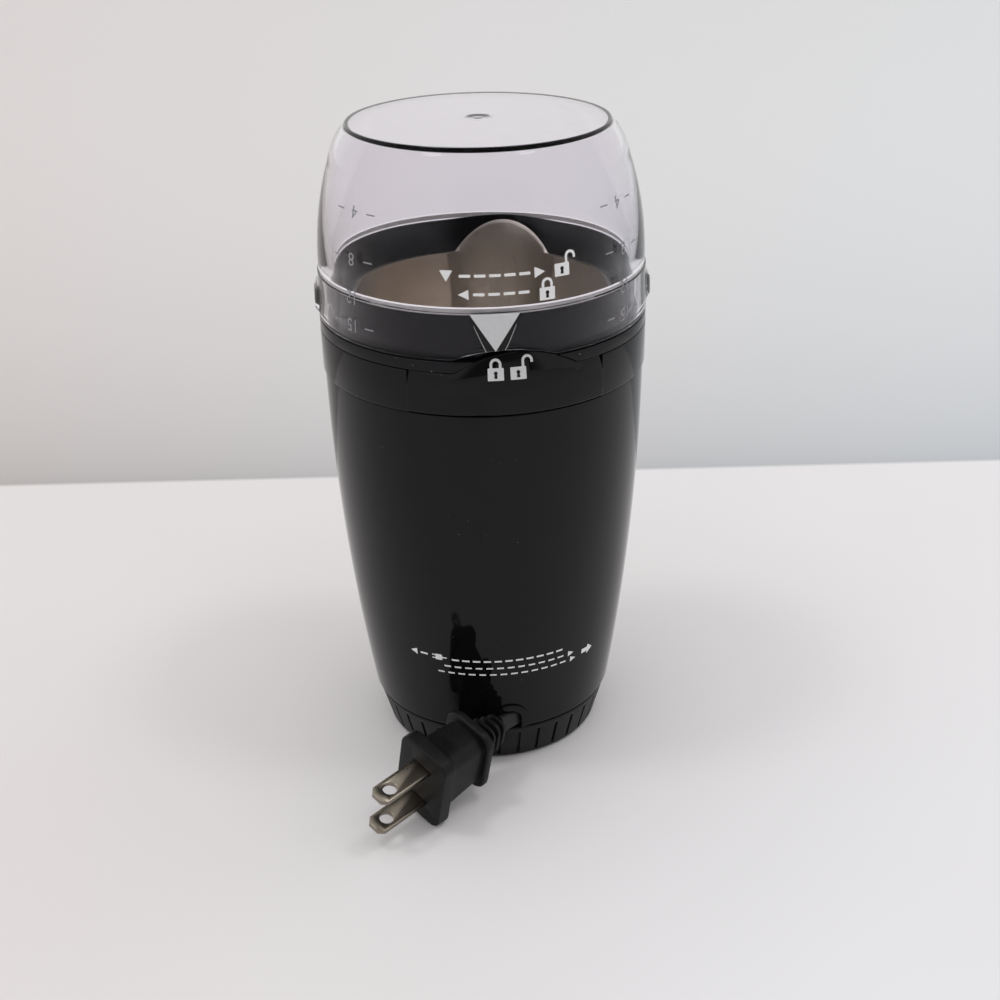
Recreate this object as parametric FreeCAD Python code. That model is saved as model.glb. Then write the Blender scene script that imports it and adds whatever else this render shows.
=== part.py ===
import FreeCAD, Part
import math
import os

# Electric spice grinder: clear twist-lock lid, steel bowl with a pouring chute, motor housing,
# and a twist base that winds the power cord. Millimetres, +Z up.
# The origin is the centre of the foot pad's underside, and -Y is the side with the padlock
# signs and the cord outlet. Azimuths run anticlockwise from -Y as seen from above, in degrees.

# Heights of the main lines, from the photograph
TOTAL_HEIGHT = 182.4
SKIRT_BOTTOM_Z = 131.6
SKIRT_STEP_Z = 144.1
NECK_TOP_Z = 143.0
LEDGE_Z = 145.9
GROOVE_Z = 128.1
BODY_TOP_Z = 116.3
BODY_BOTTOM_Z = 13.3
GRIP_TOP_Z = 12.3

# Outside radii
SKIRT_R = 45.2
LID_TOP_R = 34.9
BODY_TOP_R = 44.65
BODY_MIDDLE_R = 42.9
BODY_MIDDLE_Z = 71.5
BODY_BOTTOM_R = 36.2
GRIP_TOP_R = 35.4
GRIP_BOTTOM_R = 32.3
COLLAR_R = 45.15

# Walls
BODY_WALL = 2.4
SHELF_INNER_R = 37.3
SHELF_HEIGHT = 4.5
RIM_INNER_R = 40.3
RIM_OUTER_R = 42.4
RIM_TOP_Z = 126.0
RIM_BOTTOM_Z = 112.0
STEEL = 0.8
LID_TOP_THICKNESS = 1.7
LID_SKIRT_INNER_R = 43.4
LID_WALL_INNER_R = 41.6
NECK_R = 42.3

# Twist lock
LOCK_TURN = 7.5
POINTER_AZ = -3.75
BAYONET_HALF = 11.0
BUMP_BOTTOM_Z = 133.0
BUMP_TOP_Z = 141.2
BUMP_PROUD = 1.2
NOTCH_X = -0.2
NOTCH_HALF = 13.3
NOTCH_TOP_Z = 134.0
PANEL_FROM_AZ = -33.5
PANEL_TO_AZ = 35.3
TONGUE_X = 2.65
TONGUE_HALF = 9.6
TONGUE_TOP_Z = 133.3

# Bowl and its pouring chute
BOWL_R = 37.2
BOWL_RIM_Z = 133.3
BOWL_FLOOR_Z = 97.0
BOWL_DRAFT = 0.118
BOWL_CORNER = 7.0
CHUTE_AZ = 162.5
CHUTE_OFFSET = 18.9
CHUTE_R = 21.9
CHUTE_TOP_Z = 143.4
CONE_BOTTOM_R = 38.7
CONE_TOP_R = 41.3
LIP_HEIGHT = 1.0
BACK_LIP_HEIGHT = 1.1
BACK_LIP_HALF = 20.0

# Chopping blade, on the shaft's end
KNIFE_Z = 100.9
KNIFE_THICKNESS = 1.3
KNIFE_BEND_AT = 17.9
ARM_UP = 16.0
ARM_DOWN = 7.0
NUT_HEIGHT = 3.4

# Motor
SHAFT_R = 3.0
SHAFT_BOTTOM_Z = 29.0
SHAFT_TOP_Z = 107.0
CORE_BOTTOM_Z = 50.0
CORE_TOP_Z = 72.0
CORE_R = 27.0
ARMATURE_R = 14.7
BEARING_R = 8.0
BEARING_HEIGHT = 4.0
LOWER_BEARING_Z = 29.6
UPPER_BEARING_Z = 86.0
LOWER_BRACKET_Z = 29.0
UPPER_BRACKET_Z = 87.0
BRACKET_THICKNESS = 3.0
POLE_BORE_R = 15.2
END_TURN_HEIGHT = 4.5
COMMUTATOR_R = 7.5
COMMUTATOR_BOTTOM_Z = 36.0
COMMUTATOR_TOP_Z = 43.5
BRUSH_Z = 39.5
FAN_R = 18.5
FAN_BOTTOM_Z = 78.5
FAN_VANES = 9
DECK_Z = 92.0
CHASSIS_Z = 24.0
CHASSIS_THICKNESS = 2.5

# Twist base, reel and cord
PAD_THICKNESS = 1.4
POST_R = 6.0
REEL_BOTTOM_Z = 5.6
REEL_TOP_Z = 21.3
FLANGE_THICKNESS = 1.4
COIL_R = 27.0
CORD_THICKNESS = 2.8
CORD_WIDTH = 5.6
CORD_Z = 16.8
CORD_AZ = -53.0
OUTLET_R = 36.6
OUTLET_HALF_WIDTH = 3.5
OUTLET_TOP_Z = 20.3
OUTLET_CUT_FROM = 30.0
OUTLET_CUT_TO = 41.0
BEZEL_WIDTH = 2.1
BEZEL_PROUD = 0.5

# Plug on the cord's end, along its own axis from the outlet
PLUG_PITCH = 4.0
PLUG_ROLL = 15.2
BOOT_START = 4.5
FIN_START = 5.4
FIN_PITCH = 2.6
FIN_THICKNESS = 1.2
FIN_COUNT = 4
GUARD_START = 16.0
GUARD_THICKNESS = 2.5
GUARD_WIDTH = 17.0
GUARD_HEIGHT = 22.0
WAIST_WIDTH = 14.0
WAIST_HEIGHT = 20.5
BLOCK_START = 31.0
BLOCK_WIDTH = 17.6
BLOCK_HEIGHT = 26.0
PLUG_FACE = 36.0
BLADE_ROOT = 6.0
BLADE_LENGTH = 16.5
BLADE_WIDTH = 6.35
BLADE_THICKNESS = 1.52
BLADE_SPACING = 12.7
BLADE_HOLE_R = 2.0
BLADE_HOLE_FROM_FACE = 11.7

# Power button
BUTTON_Z = 78.0
BUTTON_R = 10.5
BUTTON_BACK_Y = 37.6
BUTTON_FLANGE_R = 12.0
BUTTON_FLANGE_THICKNESS = 1.6
BUTTON_SEAT_R = 13.4
PLUNGER_R = 2.0
PLUNGER_BACK_Y = 33.0
SWITCH_BACK_Y = 28.0

Vec = FreeCAD.Vector
UP = Vec(0, 0, 1)
AXIS_POINT = Vec(0, 0, 0)


def at(radius, azimuth, z):
    a = math.radians(azimuth)
    return Vec(radius * math.sin(a), -radius * math.cos(a), z)


def turned(shape, azimuth):
    copy = shape.copy()
    copy.rotate(AXIS_POINT, UP, azimuth)
    return copy


def outline_face(start, *steps):
    # A step is a point, or a pair of points for an arc: a point on it and its end.
    edges = []
    here = Vec(start[0], 0, start[1])
    first = here
    for step in steps:
        if isinstance(step[0], tuple):
            middle = Vec(step[0][0], 0, step[0][1])
            there = Vec(step[1][0], 0, step[1][1])
            edges.append(Part.Arc(here, middle, there).toShape())
        else:
            there = Vec(step[0], 0, step[1])
            edges.append(Part.LineSegment(here, there).toShape())
        here = there
    if here.distanceToPoint(first) > 1e-6:
        edges.append(Part.LineSegment(here, first).toShape())
    return Part.Face(Part.Wire(edges))


def spun(start, *steps):
    return outline_face(start, *steps).revolve(AXIS_POINT, UP, 360)


def disc(radius, z_low, z_high):
    return Part.makeCylinder(radius, z_high - z_low, Vec(0, 0, z_low))


def ring(inner, outer, z_low, z_high):
    return disc(outer, z_low, z_high).cut(disc(inner, z_low - 1, z_high + 1))


def rod(radius, where, z_low, z_high):
    return Part.makeCylinder(radius, z_high - z_low, Vec(where.x, where.y, z_low))


def sector(inner, outer, z_low, z_high, az_from, az_to):
    face = Part.Face(Part.Wire([
        Part.LineSegment(Vec(inner, 0, z_low), Vec(outer, 0, z_low)).toShape(),
        Part.LineSegment(Vec(outer, 0, z_low), Vec(outer, 0, z_high)).toShape(),
        Part.LineSegment(Vec(outer, 0, z_high), Vec(inner, 0, z_high)).toShape(),
        Part.LineSegment(Vec(inner, 0, z_high), Vec(inner, 0, z_low)).toShape(),
    ]))
    solid = face.revolve(AXIS_POINT, UP, az_to - az_from)
    return turned(solid, az_from - 90)


def block(x_size, y_from, y_to, z_low, z_high, azimuth=0.0):
    # y_from and y_to are radial distances on the side that the azimuth names
    box = Part.makeBox(x_size, y_to - y_from, z_high - z_low, Vec(-x_size / 2, -y_to, z_low))
    return turned(box, azimuth)


def arch(half_width, z_low, z_top, y_from, y_to, azimuth=0.0):
    # A round-topped opening cut along the radius
    body = block(2 * half_width, y_from, y_to, z_low, z_top - half_width)
    cap = Part.makeCylinder(half_width, y_to - y_from, Vec(0, -y_to, z_top - half_width), Vec(0, 1, 0))
    return turned(body.fuse(cap).removeSplitter(), azimuth)


def save(name, shape):
    if len(shape.Solids) == 1:
        shape = shape.Solids[0]
    assert shape.isValid(), name
    shape.exportStep("parts/" + name + ".step")
    print(name, "solids", len(shape.Solids), "volume mm3", round(shape.Volume, 1))


# Housing outline: one circle through three measured points

def circle_through(p, q, s):
    d = 2 * (p[0] * (q[1] - s[1]) + q[0] * (s[1] - p[1]) + s[0] * (p[1] - q[1]))
    pp = p[0] ** 2 + p[1] ** 2
    qq = q[0] ** 2 + q[1] ** 2
    ss = s[0] ** 2 + s[1] ** 2
    x = (pp * (q[1] - s[1]) + qq * (s[1] - p[1]) + ss * (p[1] - q[1])) / d
    y = (pp * (s[0] - q[0]) + qq * (p[0] - s[0]) + ss * (q[0] - p[0])) / d
    return x, y, math.hypot(p[0] - x, p[1] - y)


body_circle = circle_through((BODY_BOTTOM_R, BODY_BOTTOM_Z), (BODY_MIDDLE_R, BODY_MIDDLE_Z),
                             (BODY_TOP_R, BODY_TOP_Z))


def body_radius(z, inset=0.0):
    reach = body_circle[2] - inset
    return body_circle[0] + math.sqrt(reach ** 2 - (z - body_circle[1]) ** 2)


def body_arc(z_from, z_to, inset=0.0):
    # The pair of points that outline_face takes for the housing's side between two heights
    z_middle = (z_from + z_to) / 2
    return (body_radius(z_middle, inset), z_middle), (body_radius(z_to, inset), z_to)


def body_solid(inset, z_low, z_high):
    return spun((0, z_low), (body_radius(z_low, inset), z_low), body_arc(z_low, z_high, inset), (0, z_high))


# Cord line: a tangent from the winding out through the outlet

cord_way = at(1, CORD_AZ, 0)
outlet_point = Vec(0, -OUTLET_R, CORD_Z)
line_offset = abs(outlet_point.x * cord_way.y - outlet_point.y * cord_way.x)
lead_inside = math.sqrt(OUTLET_R ** 2 - line_offset ** 2)


def cord_bar(across, height, start, end):
    # A bar along the cord line; start and end are distances from the outlet, outwards
    bar = Part.makeBox(end - start, across, height, Vec(start, -across / 2, -height / 2))
    bar.Placement = FreeCAD.Placement(outlet_point, FreeCAD.Rotation(Vec(1, 0, 0), cord_way))
    return bar


def outlet_opening():
    round_top = arch(OUTLET_HALF_WIDTH, BODY_BOTTOM_Z - 1, OUTLET_TOP_Z, OUTLET_CUT_FROM, OUTLET_CUT_TO)
    return round_top.fuse(cord_bar(CORD_THICKNESS + 1.6, CORD_WIDTH + 1.0, -12, 6))


def outlet_bezel():
    half = OUTLET_HALF_WIDTH + BEZEL_WIDTH
    frame = arch(half, BODY_BOTTOM_Z + 0.3, OUTLET_TOP_Z + BEZEL_WIDTH, OUTLET_CUT_FROM, OUTLET_CUT_TO)
    shell = body_solid(-BEZEL_PROUD, BODY_BOTTOM_Z, 40).cut(body_solid(BODY_WALL, BODY_BOTTOM_Z - 1, 41))
    return frame.common(shell).cut(outlet_opening())


# Bowl: a drafted round cup with a drafted round chute on one side

def cup(top_r, thickness):
    wall_bottom_z = BOWL_FLOOR_Z + BOWL_CORNER
    foot_r = top_r - BOWL_DRAFT * (BOWL_RIM_Z - wall_bottom_z) + thickness
    floor_z = BOWL_FLOOR_Z - thickness
    corner = BOWL_CORNER + thickness
    bend = corner * math.sqrt(0.5)
    return spun((0, floor_z), (foot_r - corner, floor_z),
                ((foot_r - corner + bend, floor_z + corner - bend), (foot_r, floor_z + corner)),
                (top_r + thickness, BOWL_RIM_Z), (0, BOWL_RIM_Z))


def chute(thickness, top_z=CHUTE_TOP_Z):
    lower = cup(CHUTE_R, thickness)
    upper = disc(CHUTE_R + thickness, BOWL_RIM_Z, top_z)
    both = lower.fuse(upper).removeSplitter()
    both.translate(at(CHUTE_OFFSET, CHUTE_AZ, 0))
    return both


def neck_cone():
    # The space inside the neck above the bowl's rim
    flare = (CONE_TOP_R - CONE_BOTTOM_R) / (NECK_TOP_Z - BOWL_RIM_Z)
    top_z = NECK_TOP_Z + 2
    return spun((0, BOWL_RIM_Z), (CONE_BOTTOM_R, BOWL_RIM_Z),
                (CONE_BOTTOM_R + flare * (top_z - BOWL_RIM_Z), top_z), (0, top_z))


def grinding_bowl():
    lip = disc(CONE_BOTTOM_R - 0.1, BOWL_RIM_Z - LIP_HEIGHT, BOWL_RIM_Z)
    outside = cup(BOWL_R, STEEL).fuse([lip, chute(STEEL)])
    hollow = cup(BOWL_R, 0).fuse(chute(0, NECK_TOP_Z + 2))
    shell = outside.cut(hollow).cut(neck_cone())
    return shell.cut(disc(5.5, BOWL_FLOOR_Z - 3, BOWL_FLOOR_Z + 1))


def neck_ring():
    seat_r = BOWL_R + STEEL + 0.1
    body = spun((seat_r, 121), (40.0, 121), (40.0, 126.2), (42.3, 126.2), (42.3, GROOVE_Z + 0.2),
                (SKIRT_R - 0.1, GROOVE_Z + 0.2), (SKIRT_R - 0.1, SKIRT_BOTTOM_Z - 0.6),
                (SKIRT_R - 0.5, SKIRT_BOTTOM_Z - 0.3), (NECK_R, SKIRT_BOTTOM_Z - 0.3),
                (NECK_R, NECK_TOP_Z - 0.4), (NECK_R - 0.4, NECK_TOP_Z), (CONE_BOTTOM_R, NECK_TOP_Z),
                (CONE_BOTTOM_R, BOWL_RIM_Z - LIP_HEIGHT), (seat_r, BOWL_RIM_Z - LIP_HEIGHT))
    back_lip = sector(CONE_TOP_R + 0.35, NECK_R, NECK_TOP_Z - 0.6, NECK_TOP_Z + BACK_LIP_HEIGHT,
                      CHUTE_AZ - BACK_LIP_HALF, CHUTE_AZ + BACK_LIP_HALF)
    tabs = [sector(NECK_R - 1, 44.1, 135.0, 139.0, az - 4, az + 4) for az in tab_azimuths()]
    return body.fuse([back_lip] + tabs).cut([neck_cone(), chute(STEEL, NECK_TOP_Z + 2), lock_panel_seat()])


def bayonet_azimuths():
    return [POINTER_AZ + 90, POINTER_AZ - 90]


def tab_azimuths():
    # A tab stands in its pocket's far half while the lid is locked
    return [az + LOCK_TURN / 2 for az in bayonet_azimuths()]


# Lid

def lid():
    shell = spun((LID_SKIRT_INNER_R, SKIRT_BOTTOM_Z), (SKIRT_R - 0.5, SKIRT_BOTTOM_Z),
                 ((SKIRT_R - 0.1, SKIRT_BOTTOM_Z + 0.3), (SKIRT_R, SKIRT_BOTTOM_Z + 0.9)),
                 (SKIRT_R - 0.4, SKIRT_STEP_Z), (SKIRT_R - 0.7, SKIRT_STEP_Z + 0.3),
                 ((43.2, 160.5), (40.0, 173.0)),
                 ((37.9, 178.6), (LID_TOP_R, TOTAL_HEIGHT)), (0, TOTAL_HEIGHT),
                 (0, TOTAL_HEIGHT - LID_TOP_THICKNESS), (34.0, TOTAL_HEIGHT - LID_TOP_THICKNESS),
                 ((36.6, 177.4), (38.4, 172.3)),
                 ((41.1, 160.5), (LID_WALL_INNER_R, 147.0)), (LID_WALL_INNER_R, LEDGE_Z),
                 (LID_SKIRT_INNER_R, LEDGE_Z))
    bumps = []
    pockets = []
    for az in bayonet_azimuths():
        bumps.append(sector(SKIRT_R - 1, SKIRT_R + BUMP_PROUD, BUMP_BOTTOM_Z, BUMP_TOP_Z,
                            az - BAYONET_HALF, az + BAYONET_HALF))
        pockets.append(sector(LID_SKIRT_INNER_R - 1, SKIRT_R - 0.6, SKIRT_BOTTOM_Z - 1, BUMP_TOP_Z - 1.2,
                              az - BAYONET_HALF + 2, az + BAYONET_HALF - 2))
    notch = bow(NOTCH_X, NOTCH_HALF, NOTCH_TOP_Z)
    return shell.fuse(bumps).cut(pockets + [notch]).removeSplitter()


def lid_pointer():
    # A thin raised triangle on the skirt, point down
    half = at(SKIRT_R, 7.9, 0).x
    corners = [Vec(-half, 0, SKIRT_STEP_Z - 0.2), Vec(half, 0, SKIRT_STEP_Z - 0.2), Vec(0, 0, NOTCH_TOP_Z + 0.3)]
    face = Part.Face(Part.makePolygon(corners + [corners[0]]))
    prism = turned(face.extrude(Vec(0, -50, 0)), POINTER_AZ)
    skin = ring(SKIRT_R, SKIRT_R + 0.4, NOTCH_TOP_Z, SKIRT_STEP_Z)
    return prism.common(skin)


def lid_seal():
    return ring(42.6, 43.1, LEDGE_Z - 2.8, LEDGE_Z - 1.2)


# Collar with the padlock panel

def bow(x_centre, half, z_top, grow=0.0):
    # A wide drum lying along Y, whose top makes a shallow bow above the skirt's edge
    rise = z_top - SKIRT_BOTTOM_Z
    radius = (half ** 2 + rise ** 2) / (2 * rise)
    return Part.makeCylinder(radius + grow, 20, Vec(x_centre, -55, z_top - radius), Vec(0, 1, 0))


def panel_shape(inner, outer, grow):
    low = sector(inner, outer, BODY_TOP_Z + 0.5 - grow, GROOVE_Z + grow, PANEL_FROM_AZ - grow, PANEL_TO_AZ + grow)
    high = sector(inner, outer, GROOVE_Z - 1, NOTCH_TOP_Z + 1, PANEL_FROM_AZ, PANEL_TO_AZ)
    high = high.common(bow(TONGUE_X, TONGUE_HALF, TONGUE_TOP_Z, grow))
    return low.fuse(high).removeSplitter()


def lock_panel_seat():
    return panel_shape(44.15, 47, 0.05)


def lock_panel():
    return panel_shape(44.2, COLLAR_R + 0.4, 0.0)


def collar_band():
    band = spun((42.5, BODY_TOP_Z + 0.2), (COLLAR_R - 0.4, BODY_TOP_Z + 0.2), (COLLAR_R, BODY_TOP_Z + 0.6),
                (COLLAR_R, GROOVE_Z - 0.4), (COLLAR_R - 0.4, GROOVE_Z), (42.5, GROOVE_Z))
    return band.cut(lock_panel_seat())


# Housing

chassis_screw_azimuths = [90, 210, 330]
deck_screw_azimuths = [60, 225, 300]
BOSS_AT = 31.5
BOSS_R = 3.6
BOSS_HEIGHT = 12.0
DECK_SCREW_AT = 38.9
PILOT_R = 1.25


def back_rod(radius, y_from, y_to):
    # A rod through the housing's back, on the power button's line
    return Part.makeCylinder(radius, y_to - y_from, Vec(0, y_from, BUTTON_Z), Vec(0, 1, 0))


def button_cut(radius):
    return back_rod(radius, 34, 54)


def housing():
    shell = spun((body_radius(BODY_BOTTOM_Z, BODY_WALL), BODY_BOTTOM_Z),
                 (BODY_BOTTOM_R - 0.6, BODY_BOTTOM_Z), (body_radius(BODY_BOTTOM_Z + 0.7), BODY_BOTTOM_Z + 0.7),
                 body_arc(BODY_BOTTOM_Z + 0.7, BODY_TOP_Z), (RIM_OUTER_R, BODY_TOP_Z),
                 (RIM_OUTER_R, RIM_TOP_Z), (RIM_INNER_R, RIM_TOP_Z), (RIM_INNER_R, RIM_BOTTOM_Z),
                 (body_radius(108, BODY_WALL), 108), body_arc(108, DECK_Z, BODY_WALL),
                 (SHELF_INNER_R, DECK_Z), (SHELF_INNER_R, DECK_Z - SHELF_HEIGHT),
                 (body_radius(DECK_Z - 7, BODY_WALL), DECK_Z - 7),
                 body_arc(DECK_Z - 7, BODY_BOTTOM_Z, BODY_WALL))
    plate_top = CHASSIS_Z + CHASSIS_THICKNESS
    outside = body_solid(0.8, plate_top, 60)
    bosses = []
    for az in chassis_screw_azimuths:
        boss = rod(BOSS_R, at(BOSS_AT, az, 0), plate_top, plate_top + BOSS_HEIGHT)
        rib = block(3.0, BOSS_AT, 40, plate_top, plate_top + BOSS_HEIGHT, az)
        bosses.append(boss.fuse(rib).common(outside))
    ribs = []
    for side in (-1, 1):
        rib = Part.makeBox(1.5, 14, 18, Vec(side * 14.1 - 0.75, 28, BUTTON_Z - 9))
        ribs.append(rib.common(body_solid(0.8, 60, 95)))
    holes = [rod(PILOT_R, at(BOSS_AT, az, 0), plate_top - 1, plate_top + 9) for az in chassis_screw_azimuths]
    holes += [rod(PILOT_R, at(DECK_SCREW_AT, az, 0), DECK_Z - 3, DECK_Z + 1) for az in deck_screw_azimuths]
    bezel_half = OUTLET_HALF_WIDTH + BEZEL_WIDTH
    bezel_seat = arch(bezel_half, BODY_BOTTOM_Z - 1, OUTLET_TOP_Z + BEZEL_WIDTH, OUTLET_CUT_FROM, OUTLET_CUT_TO)
    openings = [bezel_seat, outlet_opening(), button_cut(BUTTON_SEAT_R + 0.1), chute(STEEL + 0.2)]
    return shell.fuse(bosses + ribs).cut(holes + openings)


# Power button and its switch

def power_button():
    face_y = body_radius(BUTTON_Z) + 0.9
    cap = back_rod(BUTTON_R, BUTTON_BACK_Y, face_y)
    rim = max(cap.Edges, key=lambda edge: edge.CenterOfMass.y)
    cap = cap.makeFillet(0.8, [rim])
    flange = back_rod(BUTTON_FLANGE_R, BUTTON_BACK_Y, BUTTON_BACK_Y + BUTTON_FLANGE_THICKNESS)
    return cap.fuse(flange).removeSplitter()


def button_bezel():
    outer = back_rod(BUTTON_SEAT_R, BUTTON_BACK_Y + 1.9, 60)
    return outer.common(body_solid(-0.6, 50, 105)).cut(button_cut(BUTTON_R + 0.35))


def switch_plunger():
    return back_rod(PLUNGER_R, PLUNGER_BACK_Y, BUTTON_BACK_Y)


def switch_body():
    box = Part.makeBox(26.2, 5.5, 12, Vec(-13.1, SWITCH_BACK_Y, BUTTON_Z - 6))
    return box.cut(back_rod(PLUNGER_R + 0.4, SWITCH_BACK_Y + 2, 40))


def button_spring():
    return back_rod(4.2, 33.55, 34.85).cut(back_rod(3.0, 33, 37))


# Motor

def bracket(z_low, z_high, hub_low, hub_high):
    plate = disc(CORE_R, z_low, z_high).fuse(disc(BEARING_R + 2, hub_low, hub_high))
    windows = [rod(5.0, at(17.5, az, 0), z_low - 1, z_high + 1) for az in (45, 135, 225, 315)]
    return plate, windows


BOLT_AZIMUTHS = (90, 270)
BOLT_AT = 24.0
BOLT_R = 1.5
BOLT_POST_R = 3.4


def bolt_holes(z_low, z_high):
    return [rod(BOLT_R + 0.2, at(BOLT_AT, az, 0), z_low, z_high) for az in BOLT_AZIMUTHS]


def lower_bracket():
    top_z = LOWER_BRACKET_Z + BRACKET_THICKNESS
    plate, windows = bracket(LOWER_BRACKET_Z, top_z, LOWER_BRACKET_Z - 0.4, top_z + 2)
    posts = [rod(BOLT_POST_R, at(BOLT_AT, az, 0), top_z - 1, CORE_BOTTOM_Z) for az in BOLT_AZIMUTHS]
    pocket = disc(BEARING_R, LOWER_BEARING_Z, 36)
    return plate.fuse(posts).cut(windows + bolt_holes(20, 60) + [pocket, disc(SHAFT_R + 1.5, 20, 40)])


def upper_bracket():
    top_z = UPPER_BRACKET_Z + BRACKET_THICKNESS
    plate, windows = bracket(UPPER_BRACKET_Z, top_z, UPPER_BRACKET_Z - 1.5, top_z)
    posts = [rod(BOLT_POST_R, at(BOLT_AT, az, 0), CORE_TOP_Z, UPPER_BRACKET_Z + 1) for az in BOLT_AZIMUTHS]
    pocket = disc(BEARING_R, UPPER_BEARING_Z, top_z + 1)
    return plate.fuse(posts).cut(windows + bolt_holes(60, 95) + [pocket, disc(SHAFT_R + 1.5, 80, 95)])


def motor_bolts():
    bolts = []
    for az in BOLT_AZIMUTHS:
        where = at(BOLT_AT, az, 0)
        head_z = UPPER_BRACKET_Z + BRACKET_THICKNESS
        bolts.append(rod(BOLT_R, where, 27.4, head_z).fuse(rod(2.8, where, head_z, head_z + 1.6)))
    return Part.makeCompound(bolts)


def bearing(z_low):
    return ring(SHAFT_R + 0.04, BEARING_R, z_low, z_low + BEARING_HEIGHT)


COIL_LEG_FROM = 38
COIL_LEG_TO = 58


def stator_core():
    core = disc(CORE_R, CORE_BOTTOM_Z, CORE_TOP_Z).cut(disc(POLE_BORE_R, CORE_BOTTOM_Z - 1, CORE_TOP_Z + 1))
    windows = []
    for az in (0, 180):
        for a, b in ((COIL_LEG_FROM - 1, COIL_LEG_TO + 1), (-COIL_LEG_TO - 1, -COIL_LEG_FROM + 1)):
            windows.append(sector(16.2, 23.3, CORE_BOTTOM_Z - 1, CORE_TOP_Z + 1, az + a, az + b))
    return core.cut(windows + bolt_holes(CORE_BOTTOM_Z - 1, CORE_TOP_Z + 1))


def field_coils():
    coils = []
    for az in (0, 180):
        whole = sector(16.5, 23.0, CORE_BOTTOM_Z - END_TURN_HEIGHT, CORE_TOP_Z + END_TURN_HEIGHT,
                       az - COIL_LEG_TO, az + COIL_LEG_TO)
        pole = sector(16.0, 24.0, CORE_BOTTOM_Z - 0.1, CORE_TOP_Z + 0.1, az - COIL_LEG_FROM, az + COIL_LEG_FROM)
        coils.append(whole.cut(pole))
    return Part.makeCompound(coils)


SLOT_COUNT = 10


def armature_slots(half_width, inner):
    return [block(2 * half_width, inner, 13.2, CORE_BOTTOM_Z - 1, CORE_TOP_Z + 1, i * 360 / SLOT_COUNT)
            for i in range(SLOT_COUNT)]


def armature_core():
    core = ring(SHAFT_R, ARMATURE_R, CORE_BOTTOM_Z, CORE_TOP_Z)
    openings = [block(1.0, 12, 16, CORE_BOTTOM_Z - 1, CORE_TOP_Z + 1, i * 360 / SLOT_COUNT)
                for i in range(SLOT_COUNT)]
    return core.cut(armature_slots(1.3, 8.0) + openings)


def armature_windings():
    ends = [ring(5.0, 13.0, CORE_TOP_Z, CORE_TOP_Z + END_TURN_HEIGHT),
            ring(5.0, 13.0, CORE_BOTTOM_Z - END_TURN_HEIGHT, CORE_BOTTOM_Z)]
    bars = [block(2.4, 8.2, 12.8, CORE_BOTTOM_Z - 1, CORE_TOP_Z + 1, i * 360 / SLOT_COUNT)
            for i in range(SLOT_COUNT)]
    return ends[0].fuse([ends[1]] + bars).removeSplitter()


def commutator():
    body = ring(SHAFT_R, COMMUTATOR_R, COMMUTATOR_BOTTOM_Z, COMMUTATOR_TOP_Z)
    slits = [block(0.5, 6.8, 9.0, 35, 43, i * 360 / SLOT_COUNT + 18) for i in range(SLOT_COUNT)]
    return body.cut(slits)


def cooling_fan():
    hub = ring(SHAFT_R, 6.0, FAN_BOTTOM_Z, FAN_BOTTOM_Z + 6)
    plate = ring(5.0, FAN_R, FAN_BOTTOM_Z, FAN_BOTTOM_Z + 1.2)
    vanes = [block(1.2, 5.5, FAN_R - 0.5, FAN_BOTTOM_Z + 0.5, FAN_BOTTOM_Z + 5.5, i * 360 / FAN_VANES)
             for i in range(FAN_VANES)]
    return hub.fuse([plate] + vanes).removeSplitter()


def brush_slot(az, y_from, y_to, half):
    return block(2 * half, y_from, y_to, BRUSH_Z - half, BRUSH_Z + half, az)


def brush_holders():
    holders = [block(8.0, 10.2, 25.0, 32.0, 43.5, az).cut(brush_slot(az, 8, 24.0, 2.6)) for az in (0, 180)]
    return Part.makeCompound(holders)


def carbon_brushes():
    face = disc(COMMUTATOR_R + 0.3, 30, 50)
    return Part.makeCompound([brush_slot(az, 7.0, 16.0, 2.5).cut(face) for az in (0, 180)])


def brush_springs():
    springs = []
    for az in (0, 180):
        spring = Part.makeCylinder(1.8, 7.8, Vec(0, -23.9, BRUSH_Z), Vec(0, 1, 0))
        springs.append(turned(spring, az))
    return Part.makeCompound(springs)


def rubber_mounts():
    return Part.makeCompound([rod(4.0, at(22.0, az, 0), 90.0, DECK_Z) for az in (0, 120, 240)])


def motor_deck():
    plate = disc(body_radius(DECK_Z, BODY_WALL) - 0.2, DECK_Z, DECK_Z + 2.5)
    holes = [rod(1.6, at(DECK_SCREW_AT, az, 0), DECK_Z - 1, DECK_Z + 4) for az in deck_screw_azimuths]
    return plate.cut(holes + [disc(6.5, DECK_Z - 1, DECK_Z + 4)])


def screws(azimuths, where, head_z, shank_z, head_r=2.6):
    # Pan-head screws; the head starts at head_z and the shank ends at shank_z
    out = []
    for az in azimuths:
        spot = at(where, az, 0)
        if shank_z < head_z:
            out.append(rod(1.2, spot, shank_z, head_z).fuse(rod(head_r, spot, head_z, head_z + 1.4)))
        else:
            out.append(rod(1.2, spot, head_z, shank_z).fuse(rod(head_r, spot, head_z - 1.4, head_z)))
    return Part.makeCompound(out)


def shaft_seal():
    collar = ring(SHAFT_R + 0.05, 5.4, DECK_Z + 2.6, BOWL_FLOOR_Z + 1.6)
    flange = ring(4.0, 8.0, BOWL_FLOOR_Z, BOWL_FLOOR_Z + 0.9)
    return collar.fuse(flange).removeSplitter()


# Blade, with one arm swept up and one swept down

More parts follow.
